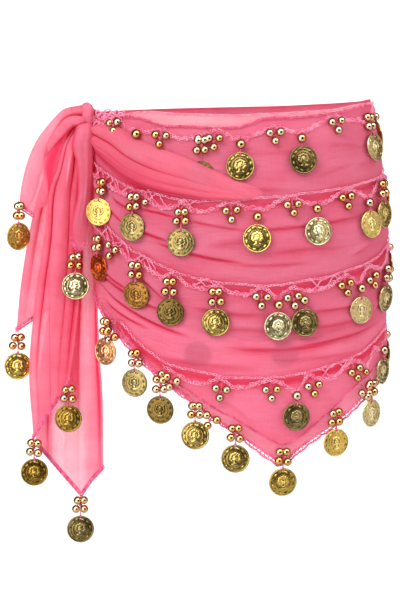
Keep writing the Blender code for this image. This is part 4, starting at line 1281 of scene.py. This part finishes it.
def tail_points(name):
    """Points of a hanging end and how deep its colour goes: rounded pleats with tight valleys, with
    painted shade in the valleys.
    """
    table, depth, point_at, column_count, row_count, turned_in, _ = TAILS[name]
    down, across = share_grid(row_count, column_count)
    left_x, left_z, right_x, right_z, swell, drop, back = along(
        numbered(table), down * (len(table) - 1))
    column = across * (column_count - 1)
    share = np.clip((column - turned_in) / (column_count - 1 - turned_in), 0, 1)
    curl = np.clip(turned_in - column, 0, None) / max(turned_in, 1)
    seed = sum(name.encode()) % 17
    rise = np.zeros_like(across)
    for i, (start, end, start_width, end_width, height) in enumerate(PLEATS[name]):
        wave = 0.025 * np.sin(5.0 * down + seed + 2.1 * i) * down
        centre = start + (end - start) * ease(down) + wave
        width = start_width + (end_width - start_width) * down
        round_top = np.sqrt(np.clip(1 - ((share - centre) / width) ** 2, 0, 1))
        rise = np.maximum(rise, height * round_top)
    # Painted shade in the valleys, but on the strip only along its left edge, and on the rear layer over
    # its top too.
    bunch = bell(rise / 2.7) * np.clip(swell * 1.3, 0, 1)
    bunch = bunch * ease(np.minimum(share, 1 - share) / 0.05)
    if name == "tail_strip":
        bunch = bell((share - 0.03) / 0.12)
    if name == "tail_back":
        bunch = np.maximum(bunch, 1.2 * ease((0.46 - down) / 0.25))
    rise = rise + 0.3 * np.sin(2 * np.pi * 3 * share + 4 * down + seed) * ease(down * 3)
    # The right edge of the long layer comes forward.
    forward = 11 * ease((share - 0.84) / 0.16) if name == "tail_long" else 0.0
    # Painted shade on the right side of each pleat, away from the light.
    slope = np.gradient(rise, axis=1) * swell / ((right_x - left_x) / column_count)
    bunch = bunch + 0.3 * np.clip(-slope, 0, 1)
    settled = 1 - 0.65 * ease((down - 0.82) / 0.18)
    point_share = np.minimum(share / point_at, (1 - share) / (1 - point_at))
    x = left_x + (right_x - left_x) * share + 1.2 * curl + 0.3 * forward
    y = depth + back - swell * settled * rise + 13 * curl ** 1.5 * np.clip(1.6 * swell, 0, 1)
    y = y - forward * swell
    z = left_z + (right_z - left_z) * share - drop * point_share - 2.0 * curl * ease(1 - down * 3)
    # Painted shadow in the recess beside the knot.
    middle, reach = along(RECESS_SHADE, z)
    bunch = np.maximum(bunch, 1.15 * np.exp(-np.abs((x - middle) / reach) ** 3))
    return np.stack([x, y, z], -1), bunch


def make_tails():
    """Five layers of the hanging ends, and their lower edges for the trims."""
    hems = {}
    for name, (*_, turned_in, flat) in TAILS.items():
        points, bunch = tail_points(name)
        down, across = share_grid(*bunch.shape)
        dense = 0.9 * ease((0.42 - down) / 0.35)
        # The long layer is sheer by its corner, and the short end along its left edge.
        if name == "tail_long":
            bare = ease((down - 0.76) / 0.14)
            bare = bare * ease((across - 0.12) / 0.3) * ease((0.86 - across) / 0.2)
            dense = dense - 0.95 * bare
            bunch = bunch * (1 - 0.6 * bare)
        if name == "tail_side":
            dense = dense - 1.3 * ease((0.2 - across) / 0.2) * ease(down / 0.2)
        sheet = cloth_sheet(name + "_cloth", points, CHIFFON_END, 0.85 * bunch, dense)
        finish_sheet(sheet, [name])
        hems[name] = points[-1][turned_in:]
    return hems


def lobe_points(route):
    """Rings of points of a puffed closed band along a route, with lengthwise folds."""
    ring, steps = 40, 10 * (len(route) - 1)
    facing = np.array((0.25, -1.0, 0.35))
    keys = np.linspace(0, len(route) - 1, steps + 1)
    x, y, z, half_width, thickness = along(numbered(route), keys)
    middle = np.stack([x, y, z], -1)
    ahead = unit(np.gradient(middle, axis=0))
    side = unit(np.cross(ahead, facing))
    proud = unit(np.cross(side, ahead))
    turn = np.linspace(0, 2 * np.pi, ring, endpoint=False)
    share = np.linspace(0, 1, steps + 1)[:, None]
    folds = 1 + 0.04 * np.sin(5 * turn + 3 * share) + 0.03 * np.sin(8 * turn - 5 * share + 1)
    closing = np.sqrt(np.clip(np.minimum(share, 1 - share) / 0.06, 0.02, 1))
    across = (half_width[:, None] * np.cos(turn) * folds * closing)[..., None]
    bulge = (thickness[:, None] * np.sin(turn) * folds * closing)[..., None]
    return middle[:, None] + side[:, None] * across + proud[:, None] * bulge


def make_knot():
    """Knot of both ends, from bands that wrap over and under each other."""
    points, faces, around, run, bunch = [], [], [], [], []
    first = 0
    for name, route in KNOT_LOBES.items():
        band = lobe_points(route)
        steps, ring = band.shape[:2]
        faces += [tuple(first + i for i in face) for face in grid_faces(steps, ring, True)]
        faces.append(tuple(first + i for i in range(ring)))
        faces.append(tuple(first + (steps - 1) * ring + i for i in reversed(range(ring))))
        points.append(band.reshape(-1, 3))
        run.append(np.repeat(np.arange(steps) * 0.0016, ring))
        around.append(np.tile(np.abs(np.arange(ring) - ring / 2) * 0.0012, steps))
        # Painted shade over the hidden core of the knot.
        bunch.append(np.full(steps * ring, 1.1 if name == "core" else 0.0))
        first += steps * ring
    mesh = new_mesh("knot_cloth", np.concatenate(points), faces)
    give_uv(mesh, np.concatenate(around), np.concatenate(run))
    give(mesh, "bunch", np.concatenate(bunch))
    mesh.shade_smooth()
    face_outwards(mesh)
    finish_piece(add_object("knot_cloth", mesh, CHIFFON_BUNCHED), ["knot"])


# ---------------------------------------------------------------- crochet

def trim_line(table, first, last, lift, sway=0.0, beat=0.0, step=1.2):
    """Line of crochet on the cloth, swaying a little, with its outward directions."""
    angle = np.linspace(first, last, max(3, round((last - first) / step)))
    height = along(table, angle)[0]
    run = angle * GIRTH_PER_DEGREE * 2 * np.pi
    height = height + sway * np.sin(run / LONG_SWAY + beat)
    height = height + 0.5 * sway * np.sin(run / SHORT_SWAY + 2 * beat)
    return cloth_points(angle, height, lift), hip_normals(angle, height)


def crochet(name, lines, style):
    """Lines of one kind of stitch."""
    pitch, length, width, yarn, lean = STITCHES[style]
    base = seeds(name, [line[0] for line in lines], outward=[line[1] for line in lines])
    return grow(base, CHAIN, Pitch=pitch * MM, Length=length * MM, Width=width * MM,
                Yarn=yarn * MM, Lean=math.radians(lean), Material=YARN)


def hung(chain, angle, drop):
    """Place below a chain, as a row of a table."""
    return angle, along(chain, float(angle))[0] - drop


def round_back(chain, coin_angles):
    """Scallops of the back: down at each coin and up between two."""
    rows = []
    for before, after in zip(coin_angles, coin_angles[1:]):
        rows += [hung(chain, before, 12.0), hung(chain, (before + after) / 2, 3.0)]
    last = coin_angles[-1]
    return (*rows, hung(chain, last, 12.0), hung(chain, last + 10, 3.0))


def make_web(name, chain, scallops, rng):
    """Thin cords that wander between a row's two chains."""
    lines = []
    for first, last in WEBS.get(name, ()):
        for side in (0, 1):
            angle, points = first, []
            while angle < last + 9:
                upper, lower = along(chain, angle)[0], along(scallops, angle)[0]
                points.append((angle, (lower if side else upper) + rng.uniform(-1.0, 1.0)))
                angle += rng.uniform(4.0, 8.0)
                side = 1 - side
            lines.append(trim_line(points, first, last, 2.7, 0.8, rng.uniform(0, 6), 0.5))
    return [crochet(name, lines, "web")] if lines else []


def make_trim(name, node_name, chain, scallops, first, last, rng):
    """One crochet row: an even upper chain and two loose chains that cross in scallops below."""
    start, end = max(first, scallops[0][0]), min(last, scallops[-1][0])
    lines = [trim_line(chain, max(first, chain[0][0]), last, 1.9, 0.35),
             trim_line(scallops, start, end, 2.3, 1.2, 0.4),
             trim_line(scallops, start, end, 1.7, 2.0, 3.3)]
    parts = [crochet(name, lines, "chain")] + make_web(name, chain, scallops, rng)
    finish_piece(join(name, parts, YARN), [node_name])


def make_hem(name, node_name, first, last):
    """Crocheted hem: stitched inner lines and open loops with a fine edge outside them."""
    in_front = first < 0
    stitched = [trim_line(HEM_INNER, max(first, -76), last, 1.5, 0.3)]
    if in_front:
        between = [(angle, 0.5 * (height + along(HEM_OUTER, angle)[0]) + 0.5)
                   for angle, height in HEM_INNER if first - 3 < angle < last + 3]
        stitched.append(trim_line(between, -72, -20, 1.3, 0.5))
    stitches = crochet(name + " stitches", stitched, "stitch")
    shift = 2.2 if in_front else 0.0
    lower = [(angle, height - 1.6 + shift * float(ease((16 - angle) / 22)))
             for angle, height in HEM_OUTER]
    upper = [(row[2], row[3] + 0.4) for row in (FRONT_EDGES if in_front else BACK_EDGES)]
    middle = [(angle, 0.5 * (height + float(along(upper, angle)[0])))
              for angle, height in lower if upper[0][0] <= angle <= upper[-1][0]]
    parts = [crochet(name, [trim_line(table, first, last, 1.2, sway, beat)], style)
             for table, sway, beat, style in ((middle, 0.2, 0.0, "loop"), (lower, 0.8, 1.0, "edge"),
                                              (upper, 0.15, 2.0, "edge"))]
    finish_piece(join(name, parts, YARN_DEEP), [node_name])
    finish_piece(join(name + "_stitches", [stitches], YARN_STITCH))


def make_trims():
    """All crochet on the wound cloth."""
    rng = np.random.default_rng(7)
    rows = (
        ("top_crochet", "top_trim", TOP_CHAIN, ROW_1_SCALLOPS, -88, 268),
        ("row_2_crochet", "row_2", ROW_2_CHAIN, ROW_2_SCALLOPS, -82, 264),
        ("row_3_crochet", "row_3", ROW_3_CHAIN, ROW_3_SCALLOPS, -76, 238),
    )
    for name, node_name, chain, scallops, first, last in rows:
        at_side = hung(chain, 90, 11)
        make_trim(name + "_front", node_name + "_front", chain,
                  (*scallops, hung(chain, 80, 4), at_side), first, FRONT_END, rng)
        make_trim(name + "_back", node_name + "_back", chain,
                  (at_side, *round_back(chain, BACK_COINS[node_name + "_back"][1])),
                  BACK_START, last, rng)
    make_trim("row_4_crochet_front", "row_4_front", ROW_4_CHAIN, ROW_4_SCALLOPS, -52, 80, rng)
    make_hem("hem_crochet_front", "hem_trim_front", -78, FRONT_END)
    make_hem("hem_crochet_back", "hem_trim_back", BACK_START, 252)
    casing = crochet("casing_stitches", [trim_line(CASING, -72, 66, 2.4, 0.3)], "stitch")
    finish_piece(join("casing_stitches", [casing], YARN_STITCH))


def make_tail_trims(hems):
    """Crochet edging along the lower edge of each end."""
    for name, hem in hems.items():
        outward = np.zeros_like(hem[::2]) + np.array((0.0, -1.0, 0.0))
        parts = []
        for forward, fall, style in ((0.6, -0.9, "edge"), (0.5, 0.5, "edge"), (0.3, 1.9, "loop"),
                                     (0.2, 3.2, "edge")):
            line = hem[::2] - np.array((0.0, forward, fall))
            parts.append(crochet(name, [(line, outward)], style))
        finish_piece(join(name + "_crochet", parts, YARN_DEEP), [name + "_trim"])


# ---------------------------------------------------------------- coins and beads

def ring_ridge(r, radius, half_width):
    """Soft ridge round a coin."""
    return np.cos(np.clip((r - radius) / half_width, -1, 1) * np.pi / 2) ** 2


def dome(x, y, centre, radii, tilt=0.0):
    """Rounded swelling of a stamped figure, 1 at its middle and 0 at its edge."""
    c, s = math.cos(math.radians(tilt)), math.sin(math.radians(tilt))
    u = ((x - centre[0]) * c + (y - centre[1]) * s) / radii[0]
    v = ((y - centre[1]) * c - (x - centre[0]) * s) / radii[1]
    return np.sqrt(np.clip(1 - u * u - v * v, 0, 1))


def coin_relief(x, y):
    """Height of the stamping over a coin's face: rim, twelve marks, ring and a plain head."""
    r = np.hypot(x, y)
    beads = 0.65 + 0.35 * np.cos(22 * np.arctan2(y, x))
    height = 0.50 * ring_ridge(r, 13.5, 0.75) + 0.26 * beads * ring_ridge(r, 8.0, 0.6)
    for i in range(12):
        at = math.radians(30 * i + 15)
        mark_x, mark_y = 10.8 * math.cos(at), 10.8 * math.sin(at)
        if i % 2:
            open_to = np.cos(np.arctan2(y - mark_y, x - mark_x) - at)
            mark = ring_ridge(np.hypot(x - mark_x, y - mark_y), 0.9, 0.55) * (open_to > -0.4)
        else:
            mark = dome(x, y, (mark_x, mark_y), (0.8, 1.35), 30 * i + 15)
        height = np.maximum(height, 0.7 * mark)
    head = dome(x, y, (0.0, 0.3), (2.7, 3.6))
    for i in range(11):
        at = math.radians(-38 + 25.6 * i)
        reach = 4.3 + 0.5 * (i % 2)
        curl = dome(x, y, (reach * math.cos(at), 0.9 + reach * math.sin(at)), (1.3, 1.3))
        head = np.maximum(head, 0.85 * curl)
    head = np.maximum(head, 0.75 * dome(x, y, (0.2, -3.6), (2.0, 1.9)))
    head = np.maximum(head, 0.70 * dome(x, y, (0.1, -6.2), (4.4, 1.7), 3))
    for side in (-1, 1):
        head = head - 0.5 * dome(x, y, (1.15 * side, 1.0), (0.75, 0.5))
    head = head + 0.35 * dome(x, y, (0.0, 0.1), (0.5, 1.3))
    head = head - 0.4 * dome(x, y, (0.0, -1.7), (1.1, 0.4))
    height = np.where(r < 7.4, np.maximum(height, 0.75 * head), height)
    return height * (r < 14.2)


def coin_master():
    """Stamped coin with a hole for its thread; its face looks along +Z and its hole is at +Y."""
    segments = 88
    face_radii = (*np.linspace(0.35, 8.75, 22), *np.linspace(9.2, 12.4, 9),
                  12.8, 13.15, 13.5, 13.85, COIN_RADIUS)
    back_radii = (COIN_RADIUS, 13.6, 12.6, 7.0, 0.35)
    turn = np.linspace(0, 2 * np.pi, segments, endpoint=False)
    rings, slopes = [], []
    for radius in face_radii:
        x, y = radius * np.cos(turn), radius * np.sin(turn)
        relief = coin_relief(x, y)
        swell = COIN_SWELL * (1 - (radius / COIN_RADIUS) ** 2)
        rings.append(np.stack([x, y, COIN_HALF + relief + swell], -1))
        rise_x = coin_relief(x + 0.3, y) - coin_relief(x - 0.3, y)
        rise_y = coin_relief(x, y + 0.3) - coin_relief(x, y - 0.3)
        # Darker on the stamping's slopes, tarnish with painted shade, and on the low field, tarnish.
        slopes.append(0.36 + 0.8 * np.hypot(rise_x, rise_y) - 0.8 * relief)
    for radius in back_radii:
        rim = 0.3 * ring_ridge(radius, 13.6, 0.7) + 0 * turn
        x, y = radius * np.cos(turn), radius * np.sin(turn)
        rings.append(np.stack([x, y, -COIN_HALF - rim], -1))
        slopes.append(0.4 + 0 * turn)
    last = (len(rings) - 1) * segments
    faces = grid_faces(len(rings), segments, True)
    faces += [tuple(range(segments)), tuple(reversed(range(last, last + segments)))]
    mesh = new_mesh("coin", np.concatenate(rings), faces)
    give(mesh, "slope", np.concatenate(slopes))
    face_outwards(mesh)
    coin = add_object("coin", mesh)

    bm = bmesh.new()
    place = Matrix.Translation(Vector((0, COIN_HOLE, 0)) * MM)
    bmesh.ops.create_cone(bm, cap_ends=True, segments=10, radius1=HOLE_RADIUS * MM,
                          radius2=HOLE_RADIUS * MM, depth=6 * MM, matrix=place)
    punch_mesh = bpy.data.meshes.new("punch")
    bm.to_mesh(punch_mesh)
    bm.free()
    punch = add_object("punch", punch_mesh)
    hole = coin.modifiers.new("hole", "BOOLEAN")
    hole.operation = "DIFFERENCE"
    hole.object = punch
    settle(coin)
    bpy.data.objects.remove(punch)
    coin.data.shade_smooth()
    return coin


def coin_seat(angle, height):
    """How far the cloth stands over its own tangent plane under a coin."""
    turn = np.radians(30 * np.arange(12))
    centre = cloth_points(angle, height, 0, 0)
    near = cloth_points(angle + COIN_RADIUS * np.sin(turn) / GIRTH_PER_DEGREE,
                        height + COIN_RADIUS * np.cos(turn), 0, 0)
    return max(0.0, float(((near - centre) @ hip_normals(angle, height)).max()))


def hanging_frame(angle, height, drop, lean=None):
    """Place, side, outward and up directions of a pendant; it hangs plumb if it has no lean."""
    origin = cloth_points(angle, height, 0, 0)
    foot = origin - np.array((0, 0, drop))
    if lean is not None:
        foot = cloth_points(angle, height - drop, coin_seat(angle, height - drop) - lean, 0)
    up = unit(origin - foot)
    side = unit(np.cross(up, hip_normals(angle, height)))
    return origin, side, np.cross(side, up), up


def turned(vectors, axis, degrees):
    """Vectors turned about an axis."""
    rotation = Matrix.Rotation(math.radians(degrees), 3, Vector(axis))
    return [np.array(rotation @ Vector(v)) for v in vectors]


class Strung:
    """Beads, threads and thread knots of one trim."""

    def __init__(self):
        self.beads, self.radii, self.threads, self.knots, self.ties = [], [], [], [], []

    def bead(self, place, radius):
        """Add a bead."""
        self.beads.append(place)
        self.radii.append(radius * MM)

    def thread(self, *points):
        """Add a thread through points."""
        self.threads.append(points)

    def make(self, name):
        """Make the piece of the beads and the piece of the threads."""
        beads = seeds(name + "_beads", self.beads, size=self.radii)
        grow(beads, BEADS, Segments=12, Rings=8, Material=PLATE)
        finish_piece(beads)
        threads = seeds(name + " threads", self.threads)
        grow(threads, LOOSE_YARN, Spacing=0.0014, Yarn=THREAD_RADIUS * MM, Sides=5, Material=THREAD)
        sizes = [COIN_KNOT * MM] * len(self.knots) + [TIE_KNOT * MM] * len(self.ties)
        knots = seeds(name + " knots", self.knots + self.ties, size=sizes)
        grow(knots, BEADS, Segments=8, Rings=6, Material=THREAD)
        finish_piece(join(name + "_threads", [threads, knots], THREAD))


def add_coins(name, coins, nodes):
    """Piece of one or more coins: centre, outward and up directions, tone."""
    centres, outward, upward, tones = zip(*coins)
    piece = seeds(name, centres, outward=outward, upward=upward,
                  tone=[TONES[tone] for tone in tones])
    grow(piece, COINS, Coin=COIN, Size=COIN_SIZE, Material=METAL)
    finish_piece(piece, nodes)


def hang(name, place, kind, tone, twist, tilt, shift, rng, strung):
    """One pendant: its own coin, and its beads and thread among what is strung on the trim."""
    origin, side, outward, up = place
    origin = origin + side * shift[0] + up * shift[1]
    lift, places, drops, radius, coin_drop = PENDANTS[kind]
    swing = rng.uniform(-0.5, 0.5)
    pinch = math.cos(math.radians(1.6 * twist))
    for drop in drops:
        drift = rng.uniform(-0.7, 0.7)
        close = pinch * (0.76 if drop == drops[0] else 1.0)
        for x in places:
            strung.bead(origin + outward * (lift + rng.uniform(-0.4, 0.2))
                        - up * (drop + rng.uniform(-0.8, 0.8))
                        + side * (x * close * rng.uniform(0.9, 1.04) + drift + swing),
                        radius * rng.uniform(0.97, 1.04))
    coin_out, coin_up = turned((outward, up), up, twist)
    coin_out, coin_up = turned((coin_out, coin_up), side, tilt)
    sunk = TUCKED_DEPTH if name in TUCKED_COINS else 0.0
    edge = COIN_RADIUS * COIN_SIZE * math.sin(math.radians(abs(twist)))
    clear = max(0.0, edge + COIN_CLEARANCE - lift)
    centre = origin + outward * (lift + clear - sunk) - up * (coin_drop + sunk) + side * swing
    hole = centre + coin_up * COIN_HOLE * COIN_SIZE
    strung.thread(origin + outward * THREAD_LIFT + up * 1.0,
                  origin + outward * (lift - 0.4) - up * drops[0] * 0.6,
                  origin + outward * lift - up * drops[-1],
                  *(hole + coin_out * out + coin_up * over for out, over in THREAD_LOOP))
    strung.knots.append(hole + coin_up * 3.4 + coin_out * 0.3)
    if len(places) == 2:
        strung.ties.append(origin + outward * (lift - 1.0) - up * (sum(drops) / 2))
    add_coins(name + "_stamped", [(centre, coin_out, coin_up, tone)], [name])


def cluster(angle, height, twist, lift, rng, strung):
    """Three beads round a thread knot, two above and one below."""
    middle = cloth_points(angle, height, lift, 0.5)
    outward = hip_normals(angle, height)
    up = up_the_cloth(outward)
    side, up = turned((np.cross(up, outward), up), outward, twist)
    for x, z in CLUSTER_BEADS:
        jitter = rng.uniform(-0.5, 0.5, 2)
        strung.bead(middle + side * (x + jitter[0]) + up * (z + jitter[1]),
                    CLUSTER_BEAD * rng.uniform(0.96, 1.05))
        strung.thread(middle - outward * 0.5,
                      middle + side * x * 0.5 + up * z * 0.5 + outward * 0.4,
                      middle + side * x + up * z)
    strung.ties.append(middle - outward * 0.8)
    strung.thread(middle - outward, middle + up * 5.0 - outward * 2.0,
                  middle + up * 9.5 - outward * 3.0)


def make_front_pendants():
    """Pendants, clusters and single beads of the front."""
    rng = np.random.default_rng(21)
    for row, (table, coins) in FRONT_COINS.items():
        strung = Strung()
        for number, (angle, kind, tone, twist, tilt, *shift) in enumerate(coins, 1):
            bead_lift, *_, coin_drop = PENDANTS[kind]
            edge = along(table, angle)[0]
            if table is HEM_TRIM:
                place = hanging_frame(angle, edge - HEM_HANG, coin_drop)
            else:
                lean = bead_lift - CLOSE_LIFT + COIN_LEAN
                place = hanging_frame(angle, edge + OVERLAP, coin_drop, lean)
            hang(f"{row}_coin_{number}", place, kind, tone, twist, tilt, shift, rng, strung)
        lift = PROUD_LIFT if table is HEM_TRIM else CLOSE_LIFT
        for angle, height, twist in CLUSTERS[row]:
            cluster(angle, height, twist, lift, rng, strung)
        for angle, height in EXTRA_BEADS[row]:
            strung.bead(cloth_points(angle, height, lift + 0.6, 0.5), SINGLE_BEAD)
        strung.make(row + "_front")


def make_back_pendants():
    """Coins on single beads and clusters between them, round the back."""
    rng = np.random.default_rng(33)
    lift = TRIM_LIFT + 2.0
    for trim, (table, angles) in BACK_COINS.items():
        name = trim.replace("trim_", "")
        strung, coins = Strung(), []
        for i, angle in enumerate(angles):
            lean = None if table is HEM_TRIM else COIN_LEAN
            origin, side, outward, up = hanging_frame(angle, along(table, angle)[-1],
                                                      BACK_COIN_DROP, lean)
            strung.bead(origin + outward * (lift + 1.0) - up * 4.6, BACK_BEAD)
            centre = origin + outward * lift - up * BACK_COIN_DROP
            hole = centre + up * COIN_HOLE
            strung.thread(origin + outward * 2.5 + up * 2.0, origin + outward * lift - up * 5.0,
                          *(hole + outward * out + up * over for out, over in BACK_LOOP))
            strung.knots.append(hole + up * 2.8)
            coins.append((centre, outward, up, BACK_TONES[i % len(BACK_TONES)]))
        cluster_lift = PROUD_LIFT if table is HEM_TRIM else CLOSE_LIFT
        for before, after in zip(angles, angles[1:]):
            angle = (before + after) / 2 + rng.uniform(-1.5, 1.5)
            height = along(table, angle)[-1] - 8.5
            cluster(angle, height, rng.uniform(-8, 8), cluster_lift, rng, strung)
        add_coins(name + "_coins", coins, [])
        strung.make(name)


def make_inner_coins():
    """Coins of the inner turn, just behind the cloth."""
    coins = []
    for angle, height in INNER_COINS:
        outward = hip_normals(angle, height)
        coins.append((cloth_points(angle, height, INNER_COIN_LIFT, 0), outward,
                      up_the_cloth(outward), "light"))
    add_coins("inner_turn_coins", coins, [])


def make_tail_pendants():
    """Pendants on the corners of the hanging ends."""
    rng = np.random.default_rng(5)
    strung = Strung()
    side, outward, up = np.array(((1.0, 0, 0), (0, -1.0, 0), (0, 0, 1.0)))
    inward = THREAD_LIFT - (TRIM / 2 + SEAM + 1.1)
    for number, (corner, tone, twist, *shift) in enumerate(TAIL_COINS, 1):
        origin = np.array(corner) - outward * inward - up * (TAIL_HANG - OVERLAP)
        hang(f"tail_coin_{number}", (origin, side, outward, up), "pairs", tone, twist, 0, shift,
             rng, strung)
    strung.make("tails")


COIN = coin_master()
make_wound_cloth()
make_front_fold()
make_crochet_bunch()
TAIL_HEMS = make_tails()
make_knot()
make_trims()
make_tail_trims(TAIL_HEMS)
make_front_pendants()
make_back_pendants()
make_inner_coins()
make_tail_pendants()
bpy.data.objects.remove(COIN)

bpy.context.scene.view_settings.view_transform = "Standard"
bpy.context.scene.cycles.transparent_max_bounces = 32
